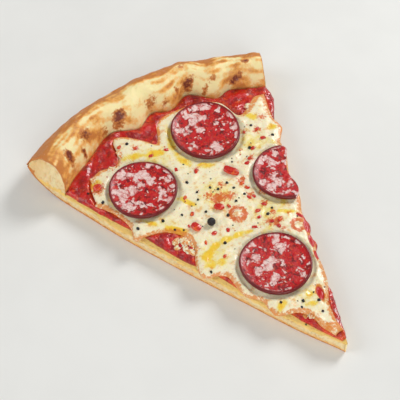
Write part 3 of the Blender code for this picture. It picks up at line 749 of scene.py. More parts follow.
def crust_finish(colours):
    """Baked skin from cream to brown with scorched spots, and open crumb where the knife went, with painted
    shade in its pores.
    """
    look = Finish("crust_baked", Subsurface_Weight=0.12, Subsurface_Scale=2 * MM, Specular_IOR_Level=0.4)
    level = look.plus(look.marked("toast"), look.swing(look.mottle(9.0, 0.25, 0.75), 0.5))
    level = look.plus(level, look.swing(look.mottle(2.2, 0.25, 0.75), 0.35))
    skin = look.blend(look.soft_step(level, 0.05, 0.62), colours.crust_pale, colours.crust_golden)
    skin = look.blend(look.soft_step(level, 0.45, 0.95), skin, colours.crust_brown)
    char = look.plus(look.marked("char"), look.swing(look.mottle(1.6, 0.3, 0.7), 0.4))
    skin = look.blend(look.soft_step(char, 0.2, 0.5), skin, colours.crust_brown)
    skin = look.blend(look.soft_step(char, 0.5, 0.85), skin, colours.crust_scorched)
    dusting = look.times(look.mottle(3.0, 0.52, 0.75), look.mottle(0.5, 0.4, 0.7))
    skin = look.blend(look.times(dusting, 0.28), skin, colours.flour)
    # Painted shade: the pore mark and fine pits darken the crumb towards its tan in the holes; the pore mark
    # also tans the rim's crumb
    hollow = look.most(look.marked("pore"), look.times(look.mottle(0.9, 0.56, 0.7), 0.6))
    crumb = look.blend(look.times(hollow, 0.75), colours.crumb, colours.crumb_deep)
    crumb = look.blend(look.times(look.mottle(3.4, 0.4, 0.7), 0.35), crumb, colours.crumb_deep)
    above = look.add("ShaderNodeSeparateXYZ", {0: look.place}).outputs[2]
    above = look.plus(above, look.swing(look.mottle(4.0, 0.3, 0.7), 1.6))
    oily = look.times(look.soft_step(above, 4.8, 6.4), look.soft_step(above, 8.6, 7.6))
    crumb = look.blend(look.times(oily, 0.75), crumb, colours.crumb_oily)
    crumb = look.blend(look.soft_step(above, 3.4, 0.8, 0.0, 0.9), crumb, colours.crust_golden)
    inside = look.soft_step(look.marked("crumb"), 0.25, 0.8)
    roughness = look.soft_step(inside, 0, 1, 0.55, 0.85)
    skin_height = look.grain(1.8, 0.35, 0.14)
    crumb_height = look.compute("SUBTRACT", look.grain(1.2, 0.35, 0.2), look.times(hollow, 0.35))
    height = look.add("ShaderNodeMix", {0: inside, 2: skin_height, 3: crumb_height}).outputs[0]
    return look.finish(look.blend(inside, skin, crumb), roughness, height)


def sauce_finish(colours):
    """Thick wet tomato sauce with darker and brighter pulp."""
    look = Finish(
        "sauce_tomato", Subsurface_Weight=0.12, Subsurface_Scale=1.0 * MM,
        Subsurface_Radius=(1.0, 0.25, 0.15),
        Coat_Roughness=0.06, Specular_IOR_Level=0.5,
    )
    colour = look.blend(look.mottle(4.5, 0.42, 0.62), colours.sauce, colours.sauce_deep)
    colour = look.blend(look.times(look.mottle(2.4, 0.55, 0.7), 0.75), colour, colours.sauce_bright)
    ragged = look.times(look.marked("seam"), look.mottle(2.0, 0.3, 0.6))
    colour = look.blend(look.times(ragged, 0.8), colour, colours.sauce_bright)
    roughness = look.soft_step(look.mottle(3.0, 0.3, 0.7), 0, 1, 0.16, 0.36)
    return look.finish(colour, roughness, look.grain(1.5, 0.5, 0.16), coat=0.5)


def cheese_finish(colours):
    """Melted cheese, cream to yellow, with pools of oil, golden blisters and stains of sauce."""
    look = Finish(
        "cheese_melted", Subsurface_Weight=0.3, Subsurface_Scale=1.6 * MM,
        Subsurface_Radius=(1.0, 0.75, 0.4),
        Coat_Roughness=0.12, Specular_IOR_Level=0.5,
    )
    ragged = look.swing(look.mottle(3.0, 0.25, 0.75), 0.5)
    oil = look.plus(look.marked("oil"), ragged)
    haze = look.plus(look.most(look.marked("haze"), look.marked("oil")), ragged)
    colour = look.blend(look.soft_step(haze, 0.0, 0.8), colours.cheese, colours.cheese_pale)
    colour = look.blend(look.soft_step(oil, 0.3, 1.0, 0.0, 0.95), colour, colours.cheese_oil)
    speckle = look.swing(look.mottle(1.1, 0.3, 0.7), 0.7)
    browned = look.plus(look.marked("brown"), speckle)
    colour = look.blend(look.soft_step(browned, 0.14, 0.72, 0.0, 0.95), colour, colours.cheese_brown)
    thin = look.plus(look.plus(look.marked("thin"), ragged), speckle)
    colour = look.blend(look.soft_step(thin, 0.4, 1.05, 0.0, 0.9), colour, colours.cheese_rind)
    hole = look.marked("hole")
    around_hole = look.soft_step(look.plus(hole, ragged), 0.05, 0.4)
    colour = look.blend(around_hole, colour, colours.cheese_rind)
    colour = look.blend(look.soft_step(hole, 0.35, 0.65), colour, colours.sauce)
    wet = look.soft_step(oil, 0.1, 0.7)
    roughness = look.soft_step(wet, 0, 1, 0.4, 0.26)
    coat = look.soft_step(wet, 0, 1, 0.15, 0.4)
    return look.finish(colour, roughness, look.grain(2.0, 0.28, 0.06), coat)


def salami_finish(colours):
    """Cured sausage: lean meat marbled with fat, browned darker at its cupped edge with painted shade down
    its side, wet with oil.
    """
    look = Finish(
        "salami_red", Subsurface_Weight=0.08, Subsurface_Scale=0.8 * MM,
        Subsurface_Radius=(1.0, 0.3, 0.2),
        Coat_Roughness=0.2, Specular_IOR_Level=0.4,
    )
    warp = look.add("ShaderNodeTexNoise", {"Vector": look.place, "Scale": 0.3, "Detail": 3.0})
    shift = look.add("ShaderNodeVectorMath", {0: warp.outputs["Color"], "Scale": 7.5}, operation="SCALE")
    bent = look.add("ShaderNodeVectorMath", {0: look.place, 1: shift.outputs[0]}, operation="ADD")
    bent = bent.outputs[0]
    fat = look.most(look.specks(bent, 5.4, 0.6, 0.54), look.specks(bent, 3.2, 0.34, 0.5))
    fat = look.most(fat, look.specks(bent, 1.8, 0.14, 0.4))
    fat = look.times(fat, look.mottle(1.4, 0.26, 0.46))
    rind = look.marked("rind")
    fat = look.times(fat, look.soft_step(rind, 0.75, 0.25))
    meat = look.blend(look.mottle(2.4, 0.45, 0.65, bent), colours.salami_red, colours.salami_dark)
    meat = look.blend(look.times(look.mottle(1.2, 0.5, 0.7), 0.4), meat, colours.sauce_bright)
    # Painted shade: the edge mark darkens the whole side wall and underside, and browns the cupped crest
    meat = look.blend(look.times(rind, 0.95), meat, colours.salami_dark)
    tint = look.times(look.mottle(1.6, 0.4, 0.7), 0.5)
    colour = look.blend(fat, meat, look.blend(tint, colours.salami_fat, colours.salami_red))
    roughness = look.soft_step(look.mottle(4.0, 0.35, 0.65), 0, 1, 0.3, 0.5)
    height = look.plus(look.grain(1.3, 0.3, 0.1), look.times(fat, 0.14))
    return look.finish(colour, roughness, height, coat=0.2)


def pepper_finish(colours):
    """Glossy skin of red pepper over orange flesh."""
    look = Finish("pepper_red", Subsurface_Weight=0.2, Subsurface_Scale=1.0 * MM, Coat_Roughness=0.08)
    colour = look.blend(look.mottle(5.0, 0.5, 0.62), colours.pepper_red, colours.pepper_orange)
    colour = look.blend(look.mottle(1.6, 0.55, 0.75), colour, colours.pepper_orange)
    colour = look.blend(look.times(look.mottle(0.9, 0.5, 0.7), 0.4), colour, colours.salami_dark)
    roughness = look.soft_step(look.mottle(2.0, 0.3, 0.7), 0, 1, 0.2, 0.4)
    return look.finish(colour, roughness, look.grain(0.9, 0.12, 0.05), coat=0.5)


def peppercorn_finish(colours):
    """Dry wrinkled black pepper."""
    look = Finish("peppercorn_black", Specular_IOR_Level=0.5)
    pale = look.times(look.mottle(0.7, 0.55, 0.75), 0.12)
    colour = look.blend(pale, colours.peppercorn, colours.peppercorn_pale)
    roughness = look.soft_step(look.mottle(0.8, 0.3, 0.7), 0, 1, 0.35, 0.6)
    return look.finish(colour, roughness, look.grain(0.7, 0.25, 0.1))


def floor_finish(colours):
    """Plain pale floor, hardly uneven."""
    look = Finish("floor_pale", Specular_IOR_Level=0.2)
    dim = [c * 0.97 for c in colours.floor]
    colour = look.blend(look.mottle(60.0, 0.35, 0.65), colours.floor, dim)
    return look.finish(colour, 0.8, look.grain(3.0, 0.02, 0.01))


# Dough


def left_end_share(angle):
    """1 at the rim's left end, where it is fuller, and 0 along the rest."""
    return 1 - smooth(-HALF_WEDGE, -0.6 * HALF_WEDGE, angle)


def rim_bubbles(count):
    """Small bubbles along the rim: x, y and half width."""
    draw = random.Random(7)
    made = []
    for _ in range(count):
        angle = draw.uniform(-HALF_WEDGE, HALF_WEDGE)
        share = draw.betavariate(1.6, 1.6)
        r = mix(ring_edge(RIM_FOOT, angle), ring_edge(PIE_EDGE, angle), share)
        made.append((*plan(r, angle), draw.uniform(1.2, 4.2) * MM))
    return made


def rim_place(r, angle):
    """Share of the way from the rim's inner foot to the outer edge."""
    foot = ring_edge(RIM_FOOT, angle)
    return clamp((r - foot) / (ring_edge(PIE_EDGE, angle) - foot))


def rim_base(r, angle):
    """Height of the plain upper side, level under the sauce and arched over the rim, and the arch alone."""
    s = rim_place(r, angle)
    if not s:
        return BASE_TOP, 0.0
    end = left_end_share(angle)
    arch = max(0.0, math.sin(math.pi * s)) ** mix(RIM_FULLNESS, RIM_END_FULLNESS, end)
    floor = mix(BASE_TOP, RIM_EDGE_TOP, s)
    height = mix(RIM_HEIGHT, RIM_END_HEIGHT, end) + RIM_WAVE * math.sin(19 * angle)
    z = mix(floor, height, arch)
    for degrees, radius, half_length, half_width, rise in RIM_BLISTERS:
        along = (angle - math.radians(degrees)) * radius * MM
        z += rise * MM * bump(along, r, 0, radius * MM, half_length * MM, half_width * MM)
    return z, arch


def rim_bottom(r, angle):
    """Height of the dough's underside: level, then lifting off under the rim."""
    end = left_end_share(angle)
    start = mix(RIM_LIFT_START, RIM_END_LIFT_START, end)
    lifted = clamp((r - start) / (ring_edge(PIE_EDGE, angle) - start))
    return mix(RIM_EDGE_BOTTOM, RIM_END_BOTTOM, end) * lifted**2.2


def pore_at(place, size):
    """Depth share of a hole in the crumb here: some of the cells of this size hold one."""
    distances, points = noise.voronoi(place / size)
    if noise.noise(points[0] * 3.7) < -0.05:
        return 0.0
    return 1 - smooth(0.18, 0.5, distances[0])


def rim_toast(s, angle, x, y):
    """How brown the skin is: most at the outer edge, the left end and in streaks by the sauce."""
    streak = noise.noise(Vector((math.degrees(angle) * 0.3, s * 11.0, 3.0)))
    patch = noise.noise(Vector((x, y, 5 * MM)) / (17 * MM))
    outer = (0.95 + 0.7 * noise.noise(Vector((x, y, 0)) / (9 * MM))) * smooth(0.38, 0.85, s)
    inner = 0.2 * (1 - smooth(0.0, 0.35, s))
    end = 0.42 * left_end_share(angle) ** 3
    return 0.24 + outer + inner + end + 0.8 * streak + 0.5 * patch


def rim_char(r, angle):
    """How scorched the skin is here."""
    found = 0.0
    for degrees, radius, half_length, half_width, darkness in RIM_SPOTS:
        along = (angle - math.radians(degrees)) * radius
        found = max(found, darkness * bump(along, r / MM, 0, radius, half_length, half_width))
    return found


def bubbled(x, y, bubbles, full_size):
    """Share of the full height of the highest bubble here. One of this half width stands at full height."""
    return max([dome(x, y, a, b, size) * size / full_size for a, b, size in bubbles])


def cut_crumb(place, u, w, pores):
    """How far the crumb lies in from the knife's cut, and how much of it is a pore."""
    inner = smooth(0, 0.16, min(w, 1 - w))
    rough = mix(CRUMB_DEPTH, RIM_CRUMB_DEPTH, u**8) * clamp(0.5 + noise.noise(place / CRUMB_SPAN))
    pore = pore_at(place, mix(*PORE_SIZE, u**8) * MM) * inner
    return inner * (rough + pore * mix(PORE_SHARE * pores, pores, u**8)), pore


def crumb_share(u, below):
    """0 in the baked skin and 1 in the crumb, at this depth below the skin. The rim's skin is thicker."""
    start, full = (mix(a, b, u**6) for a, b in zip(SKIN_DEPTH, RIM_SKIN_DEPTH))
    return smooth(start, full, below)


def underside_marks(x, y):
    """How brown and how scorched the underside is."""
    flat = Vector((x, y, 0))
    char = 0.75 * smooth(0.15, 0.55, noise.noise(flat / (7 * MM)))
    return 0.55 + 0.5 * noise.noise(flat / (13 * MM)), char


def dough_form(wrinkles, bubble_height, pores, bubbles):
    """Base and rim as one body: u from the tip outwards, v across, w from the underside up."""

    def form(u, v, w):
        angle = mix(-HALF_WEDGE, HALF_WEDGE, v)
        foot = ring_edge(RIM_FOOT, angle)
        outer = ring_edge(PIE_EDGE, angle)
        if u <= FOOT_PLACE:
            r = mix(DOUGH_TIP, foot, u / FOOT_PLACE)
        else:
            r = mix(foot, outer, (u - FOOT_PLACE) / (1 - FOOT_PLACE))
        top, arch = rim_base(r, angle)
        bottom = rim_bottom(r, angle)
        left, right = left_angle(r), right_angle(r)
        x, y = plan(r, mix(left, right, v))
        if arch:
            top += RIM_ROUGHNESS * arch * noise.noise(Vector((*plan(r, angle), 0)) / RIM_ROUGHNESS_SPAN)
            if w > 0.5:
                full = min(1, 2 * arch)
                top += full * wrinkles * unevenness(Vector((x, y, 0)), *RIM_WRINKLE)
                top += full * bubble_height * bubbled(x, y, bubbles, RIM_BUBBLE_SIZE)
        z = mix(bottom, top, w)
        side = smooth(0.5, 1, abs(2 * v - 1)) * (1 if v > 0.5 else -1)
        belly = SIDE_BELLY * math.sin(math.pi * w)
        lean = RIM_LEAN * smooth(BASE_TOP, RIM_HEIGHT, z) * (1.0 if side < 0 else 0.5)
        crumb, pore, hollow = 0.0, 0.0, 0.0
        s = rim_place(r, angle)
        if v in (0, 1):
            hollow, pore = cut_crumb(Vector((x, y, z)), u, w, pores)
            depth = mix(SAUCED_DEPTH, top - z, smooth(*RIM_FOOT_REACH, r - foot))
            crumb = crumb_share(u, min(z - bottom, depth))
            # The pore mark carries the painted shade of the holes, and is raised across the rim's crumb,
            # which tans it
            pore = max(pore, 0.7 * smooth(0.3, 0.9, s))
        elif w == 1:
            crumb = 1 - smooth(*SAUCED_EDGE, r - foot)
        if w == 0:
            toast, char = underside_marks(x, y)
        else:
            toast = rim_toast(s, angle, x, y) + (CUT_TOAST if v in (0, 1) else 0)
            toast -= WALL_PALENESS * (1 - w) if u == 1 else 0
            char = rim_char(r, angle) if r > foot else 0.0
        if u == 1:
            r_out = EDGE_BELLY * math.sin(math.pi * w)
            x += r_out * math.sin(angle)
            y += r_out * math.cos(angle)
        y -= TIP_ROUNDING * (1 - u) ** 30 * math.sin(math.pi * v)
        return Vector((x + side * (belly - lean - hollow), y, z)), (toast, char, crumb, pore)

    return form


# Sauce


def sauce_form(lumps):
    """A thin layer that swells where no cheese covers it, up against the cheese's edge."""

    def form(u, v, w):
        angle = mix(-HALF_WEDGE, HALF_WEDGE, v)
        outer = ring_edge(RIM_FOOT, angle) - SAUCE_RIM_GAP
        r = mix(SAUCE_TIP, outer, u)
        left = left_angle(r) + edge(SAUCE_LEFT, r) / r
        right = HALF_WEDGE - edge(SAUCE_RIGHT, r) / r
        angle = mix(left, right, v)
        x, y = plan(r, angle)
        depth = bare_depth(r, angle)
        bare = smooth(*SAUCE_SWELL_REACH, depth)
        if not bare:
            return Vector((x, y, mix(SAUCE_BOTTOM, SAUCE_TOP, w))), (0.0,)
        place = Vector((x, y, 0))
        lump = clamp(0.5 + noise.noise(place / SAUCE_LUMP_SPAN))
        fine = unevenness(place, *SAUCE_PULP)
        reach = min((1 - u) * outer, v * (right - left) * r, (1 - v) * (right - left) * r, r - SAUCE_TIP)
        border = math.sqrt(clamp(reach / SAUCE_EDGE_REACH))
        swell = bare * border * (mix(*SAUCE_SWELL, lump) + lumps * fine)
        z = mix(SAUCE_BOTTOM, SAUCE_TOP + swell, w)
        seam = 1 - smooth(*SEAM_REACH, depth)
        nose = SAUCE_NOSE * math.sin(math.pi * w)
        if v in (0, 1):
            angle += (1 if v else -1) * nose * (0.6 + noise.noise(place / (3 * MM))) / r
            x, y = plan(r, angle)
        return Vector((x, y, z)), (seam,)

    return form


# Cheese


def seat_blend(x, y):
    """0 under a sausage slice and 1 clear of it, the lip's rise round it, and the way to the nearest."""
    clear = 1.0
    lip = 0.0
    nearest = 1.0
    for centre_x, centre_y, half_x, half_y in SALAMI:
        away = math.hypot((x / MM - centre_x) / half_x, ((y - TIP_Y) / MM - centre_y) / half_y)
        distance = (away - 1) * (half_x + half_y) / 2 * MM
        clear *= smooth(*SEAT_STEP, distance)
        lip = max(lip, smooth(*LIP_RISE, distance) * (1 - smooth(*LIP_FALL, distance)))
        nearest = min(nearest, distance)
    return clear, lip, nearest


def cheese_top(x, y):
    """Height of the cheese's upper side, with seats for what lies on it."""
    clear, lip, _ = seat_blend(x, y)
    z = CHEESE_TOP + CHEESE_WAVE * noise.noise(Vector((x, y, 0)) / CHEESE_WAVE_SPAN) + CHEESE_LIP * lip
    for centre_x, centre_y, radius, rise in CHEESE_BLISTERS:
        z += rise * MM * bump(x, y, *in_frame(centre_x, centre_y), radius * MM, radius * MM)
    for centre_x, centre_y, size in [piece[:3] for piece in PEPPER_PIECES] + [PEPPERCORN]:
        half = (size / 2 + 2.5) * MM
        z = mix(z, PIECE_SEAT, smooth(0, 0.55, bump(x, y, *in_frame(centre_x, centre_y), half, half)))
    return mix(SEAT_TOP, z, clear)


def cheese_bubbles(count):
    """Small bubbles over the cheese: x, y and half width."""
    draw = random.Random(3)
    made = []
    while len(made) < count:
        r = PIE_RADIUS * math.sqrt(draw.uniform(0.01, 0.75))
        angle = draw.uniform(-HALF_WEDGE, HALF_WEDGE)
        made.append((*plan(r, angle), draw.uniform(0.7, 2.4) * MM))
    return made


def drape(across, z):
    """Carries a point at this distance outside the left cut round the edge and down."""
    past = across + DRAPE_START
    if past <= 0:
        return across, z
    middle = (CHEESE_BOTTOM + CHEESE_TOP) / 2
    pivot_z = middle - DRAPE_RADIUS
    arm = z - pivot_z
    turn = min(past / DRAPE_RADIUS, math.pi / 2)
    drop = past - turn * DRAPE_RADIUS
    return -DRAPE_START + arm * math.sin(turn), pivot_z + arm * math.cos(turn) - drop


def cheese_marks(x, y, depth, hang):
    """Oil pools, yellow haze, browning, thin edges and holes, each from 0 to 1.

    depth is how far the place lies outside the cheese, and hang how far outside the left cut.
    """
    a, b = x / MM, (y - TIP_Y) / MM
    oil = max(pool[5] * turned_bump(a, b, *pool[:5]) for pool in OIL_POOLS)
    haze = max(strength * bump(a, b, cx, cy, reach, reach) for cx, cy, reach, strength in OIL_HAZE)
    brown = max(spot[4] * bump(a, b, *(spot[:2]), spot[2] * 1.3, spot[3] * 1.3) for spot in CHEESE_SPOTS)
    for centre_x, centre_y, radius in CHEESE_RINGS:
        ring = math.hypot(a - centre_x, b - centre_y)
        brown *= smooth(0.3 * radius, 0.8 * radius, ring)
        brown = max(brown, 1.0 - smooth(0.2, 1.6, abs(ring - radius)))
    stained = 1 - smooth(*STAINED_TIP, math.hypot(a, b))
    thin = max(smooth(*THIN_EDGE, depth), smooth(*THIN_DRIP, hang), stained)
    hole = max(turned_bump(a, b, *place) for place in CHEESE_HOLES)
    return oil, haze, brown, thin, hole


def cheese_form(ripples, bubble_height, bubbles):
    """A melted sheet with a rounded edge, hanging over the left cut where it reaches past it."""

    def form(u, v, w):
        angle = mix(-HALF_WEDGE, HALF_WEDGE, v)
        outer = ring_edge(CHEESE_RIM, angle)
        r = mix(CHEESE_TIP, outer, u)
        left = left_angle(r) + cheese_left_inset(r) / r
        right = right_angle(r) - cheese_right_inset(r) / r
        angle = mix(left, right, v)
        x, y = plan(r, angle)
        border = math.sqrt(smooth(0, CHEESE_BORDER, min(1.5 * u, 1 - u, v, 1 - v)))
        hang = (left_angle(r) - angle) * r
        marks = cheese_marks(x, y, bare_depth(r, angle), hang)
        upper = CHEESE_TOP
        if w:
            upper = mix(mix(CHEESE_BOTTOM, CHEESE_TOP, CHEESE_BORDER_SHARE), cheese_top(x, y), border)
            upper += border * ripples * unevenness(Vector((x, y, 0)), *CHEESE_RIPPLE)
            upper += border * bubble_height * bubbled(x, y, bubbles, CHEESE_BUBBLE_SIZE)
            upper -= HOLE_DEPTH * border * smooth(0.2, 0.7, marks[4])
        z = mix(CHEESE_BOTTOM, upper, w)
        nose = CHEESE_NOSE * math.sin(math.pi * clamp(w))
        outward = nose if v in (0, 1) else 0
        r += nose if u == 1 else 0
        if v > 0.5:
            return Vector((*plan(r, angle + outward / r), z)), marks
        across, z = drape(hang + outward, z)
        return Vector((*plan(r, left_angle(r) - across / r), z)), marks

    return form


# What lies on the cheese


def salami_mesh(number, cup, grain_height):
    """A slice turned from its section: a little oval, cupped up at its edge, and grainy on top."""
    centre_x, centre_y, half_x, half_y = SALAMI[number]
    top = SALAMI_THICKNESS
    under = [(0, 0), (0.3, 0), (0.55, 0), (0.75, 0.02 * MM), (0.85, 0.05 * MM)]
    foot = [(0.92, 0.18 * cup), (0.955, 0.35 * cup)]
    side = [(0.985, 0.2 * top + 0.55 * cup), (1.0, 0.55 * top + 0.75 * cup), (0.996, 0.8 * top + 0.9 * cup)]
    crest = [(0.975, top + cup), (0.945, top + 0.92 * cup), (0.9, top + 0.62 * cup)]
    inner = (0.86, top + 0.4 * cup)
    flat = [(0.80 - 0.04 * k, top + 0.18 * cup * (1 - k / 19) ** 3 - 0.05 * MM) for k in range(20)]
    section = under + foot + side + crest + [inner] + flat + [(0, top)]
    bm = bmesh.new()
    points = [bm.verts.new((radius, 0, z)) for radius, z in section]
    edges = [bm.edges.new(pair) for pair in zip(points, points[1:])]
    bmesh.ops.spin(
        bm, geom=points + edges, cent=(0, 0, 0), axis=(0, 0, 1), angle=math.tau, steps=SALAMI_STEPS,
        use_merge=True,
    )
    bmesh.ops.remove_doubles(bm, verts=bm.verts, dist=0.00001)
    bmesh.ops.recalc_face_normals(bm, faces=bm.faces)
    rind = bm.verts.layers.float.new("rind")
    for vert in bm.verts:
        turn = math.atan2(vert.co.y, vert.co.x)
        out = vert.co.xy.length
        round_off = 1 + 0.012 * math.sin(2 * turn + number) + 0.010 * math.sin(3 * turn + 2.3 * number)
        # The edge mark: browning along the cupped crest, and painted shade over the side wall and underside
        vert[rind] = smooth(0.86, 0.99, out) if vert.co.z > 0.3 * top else 1.0
        vert.co.x *= half_x * MM * round_off
        vert.co.y *= half_y * MM * round_off
        place = Vector((vert.co.x, vert.co.y, number * 40 * MM))
        if vert.co.z > 0.9 * top:
            vert.co.z += grain_height * unevenness(place, *SALAMI_GRAIN)
        ruffle = SALAMI_RUFFLE * (1 + math.sin(3 * turn + 1.7 * number))
        ruffle += 0.12 * MM * noise.noise(place / (2 * MM))
        vert.co.z += ruffle * smooth(0.8, 1.0, out)
    place = Matrix.Translation((*in_frame(centre_x, centre_y), SALAMI_BOTTOM))
    bmesh.ops.transform(bm, matrix=place, verts=bm.verts)
    return bm


def cut_salami(piece):
    """Takes away what lay beyond the knife's edge, which leaves a little over half of the slice."""
    tables = [[(place, point[axis]) for place, point in enumerate(CUT_EDGE)] for axis in (0, 1)]
    places = [step / CUT_EDGE_STEPS for step in range(CUT_EDGE_STEPS * (len(CUT_EDGE) - 1) + 1)]
    outline = [[through(table, place) for table in tables] for place in places] + list(CUTTER_OUTSIDE)
    bm = bmesh.new()
    bottom = SALAMI_BOTTOM - CUTTER_DEPTH / 2
    face = bm.faces.new([bm.verts.new((*in_frame(x, y), bottom)) for x, y in outline])
    raised = bmesh.ops.extrude_face_region(bm, geom=[face])["geom"]
    lifted = [item for item in raised if isinstance(item, bmesh.types.BMVert)]
    bmesh.ops.translate(bm, verts=lifted, vec=(0, 0, CUTTER_DEPTH))
    bmesh.ops.recalc_face_normals(bm, faces=bm.faces)
    mesh = bpy.data.meshes.new("salami_cutter")
    bm.to_mesh(mesh)
    bm.free()
    cutter = bpy.data.objects.new("salami_cutter", mesh)
    bpy.context.scene.collection.objects.link(cutter)
    cut = piece.modifiers.new("knife_cut", "BOOLEAN")
    cut.operation = "DIFFERENCE"
    cut.solver = "EXACT"
    cut.object = cutter
    bpy.context.view_layer.update()
    graph = bpy.context.evaluated_depsgraph_get()
    trimmed = bpy.data.meshes.new_from_object(piece.evaluated_get(graph))
    piece.modifiers.clear()
    piece.data = trimmed
    bpy.data.objects.remove(cutter)


def chopped_piece(size, turn, seed, detail=4, uneven=0.16):
    """A rounded, uneven cut piece about its own centre."""
    bm = bmesh.new()
    bmesh.ops.create_icosphere(bm, subdivisions=detail, radius=0.5)
    for vert in bm.verts:
        shape = Vector([math.copysign(abs(2 * c) ** 0.8, c) / 2 for c in vert.co])
        vert.co = shape * (1 + uneven * noise.noise(vert.co * 3.1 + Vector((seed, 0, 0))))
    bmesh.ops.scale(bm, verts=bm.verts, vec=Vector(size))
    bmesh.ops.rotate(bm, verts=bm.verts, matrix=Matrix.Rotation(turn, 3, "Z"))
    return bm


def flake_places():
    """Every grain and flake: place, whether it is red, size and turn."""
    draw = random.Random(11)
    pieces = [piece[:3] for piece in PEPPER_PIECES] + [PEPPERCORN]
    places = []
    for table, size, is_red in ((CHILLI_FLAKES, FLAKE_SIZE, True), (PEPPER_GRAINS, GRAIN_SIZE, False)):
        for across, along in table:
            x, y = in_frame(across, along)
            turn, scale = draw.uniform(0, math.tau), draw.uniform(*FLAKE_SCALE)
            gaps = [math.hypot(across - a, along - b) - length / 2 for a, b, length in pieces]
            clear = bare_depth(*polar(x, y)) <= -FLAKE_MARGIN and seat_blend(x, y)[2] >= SEAT_MARGIN
            scale *= 1 if clear and min(gaps) * MM > PIECE_MARGIN else OFF_CHEESE_SCALE
            places.append((x, y, is_red, [side * scale for side in size], turn))
    return places


def surface_at(pieces, x, y):
    """The top of these pieces at x and y, or None beside them."""
    best = None
    for piece in pieces:
        hit, _, _, _ = piece.ray_cast(Vector((x, y, 2 * RIM_HEIGHT)), Vector((0, 0, -1)))
        if hit and (best is None or hit.z > best.z):
            best = hit
    return best


def surfaces(*names):
    """Search trees of the pieces with these names."""
    graph = bpy.context.evaluated_depsgraph_get()
    return [BVHTree.FromObject(bpy.data.objects[name], graph) for name in names]


def join_into(bm, piece, place):
    """Adds one small mesh to a gathered one at this place."""
    bmesh.ops.translate(piece, verts=piece.verts, vec=place)
    mesh = bpy.data.meshes.new("small_piece")
    piece.to_mesh(mesh)
    piece.free()
    bm.from_mesh(mesh)
    bpy.data.meshes.remove(mesh)


# Operators


class PIZZA_OT_dough(bpy.types.Operator):
    """Baked base and rim, with open crumb on both cuts"""

    bl_idname = "pizza.dough"
    bl_label = "Dough"

    def execute(self, context):
        sizes = context.scene.pizza_sizes
        bubbles = rim_bubbles(sizes.rim_bubble_count)
        form = dough_form(sizes.rim_wrinkles, sizes.rim_bubbles, sizes.crumb_pores, bubbles)
        along = stations((FOOT_PLACE, 170), (1, 50))
        across = stations((0.02, 4), (0.98, 156), (1, 4))
        upward = stations((0.12, 4), (0.88, 14), (1, 4))
        block = lattice((along, across, upward), form, ("toast", "char", "crumb", "pore"))
        merge_level(block, 0)
        merge_level(block, BASE_TOP)
        add_piece("crust", block, crust_finish(context.scene.pizza_colours), "crust_baked", "dough")
        return {"FINISHED"}


class PIZZA_OT_sauce(bpy.types.Operator):
    """Tomato sauce, thick where it lies bare"""

    bl_idname = "pizza.sauce"
    bl_label = "Sauce"

    def execute(self, context):
        sizes = context.scene.pizza_sizes
        along = stations((0.84, 140), (0.985, 34), (1, 6))
        across = stations((0.03, 6), (0.97, 130), (1, 6))
        layer = lattice((along, across, stations((1, 5))), sauce_form(sizes.sauce_lumps), ("seam",))
        merge_level(layer, SAUCE_BOTTOM)
        merge_level(layer, SAUCE_TOP)
        add_piece("tomato_sauce", layer, sauce_finish(context.scene.pizza_colours), "sauce_tomato", "sauce")
        return {"FINISHED"}


class PIZZA_OT_cheese(bpy.types.Operator):
    """Melted cheese with oil pools and blisters"""

    bl_idname = "pizza.cheese"
    bl_label = "Cheese"

    def execute(self, context):
        sizes = context.scene.pizza_sizes
        bubbles = cheese_bubbles(sizes.cheese_bubble_count)
        form = cheese_form(sizes.cheese_ripples, sizes.cheese_bubbles, bubbles)
        along = stations((0.12, 16), (0.93, 130), (1, 14))
        across = stations((0.1, 14), (0.94, 100), (1, 10))
        marks = ("oil", "haze", "brown", "thin", "hole")
        sheet = lattice((along, across, stations((1, 6))), form, marks)
        merge_level(sheet, CHEESE_BOTTOM)
        material = cheese_finish(context.scene.pizza_colours)
        add_piece("melted_cheese", sheet, material, "cheese_melted", "cheese")
        return {"FINISHED"}


class PIZZA_OT_curds(bpy.types.Operator):
    """Curds of melted cheese in the bare sauce"""

    bl_idname = "pizza.curds"
    bl_label = "Curds"

    def execute(self, context):
        below = surfaces("tomato_sauce", "melted_cheese")
        gathered = bmesh.new()
        for seed, (x, y, half, height) in enumerate(CURDS):
            place = surface_at(below, *in_frame(x, y))
            if place is None:
                raise RuntimeError(f"curd {seed} lies beside the slice")
            size = (2.5 * half * MM, 1.8 * half * MM, 1.2 * height * MM)
            place.z -= 0.12 * height * MM
            join_into(gathered, chopped_piece(size, seed * 1.1, seed, 3, 0.5), place)
        for name, value in (("thin", 0.65), ("haze", 0.15), ("brown", 0.3)):
            layer = gathered.verts.layers.float.new(name)
            for vert in gathered.verts:
                vert[layer] = value
        add_piece("cheese_curds", gathered, finish_of("melted_cheese"), "cheese_melted")
        return {"FINISHED"}


class PIZZA_OT_salami(bpy.types.Operator):
    """Four slices of cured sausage, one of them cut by the knife"""

    bl_idname = "pizza.salami"
    bl_label = "Sausage slices"

    def execute(self, context):
        sizes = context.scene.pizza_sizes
        material = salami_finish(context.scene.pizza_colours)
        for number in range(len(SALAMI)):
            bm = salami_mesh(number, sizes.salami_cup, sizes.salami_grain)
            name = f"salami_{number + 1}"
            piece = add_piece(f"sausage_slice_{number + 1}", bm, material, "salami_red", name)
            if number == CUT_SALAMI:
                cut_salami(piece)
        return {"FINISHED"}


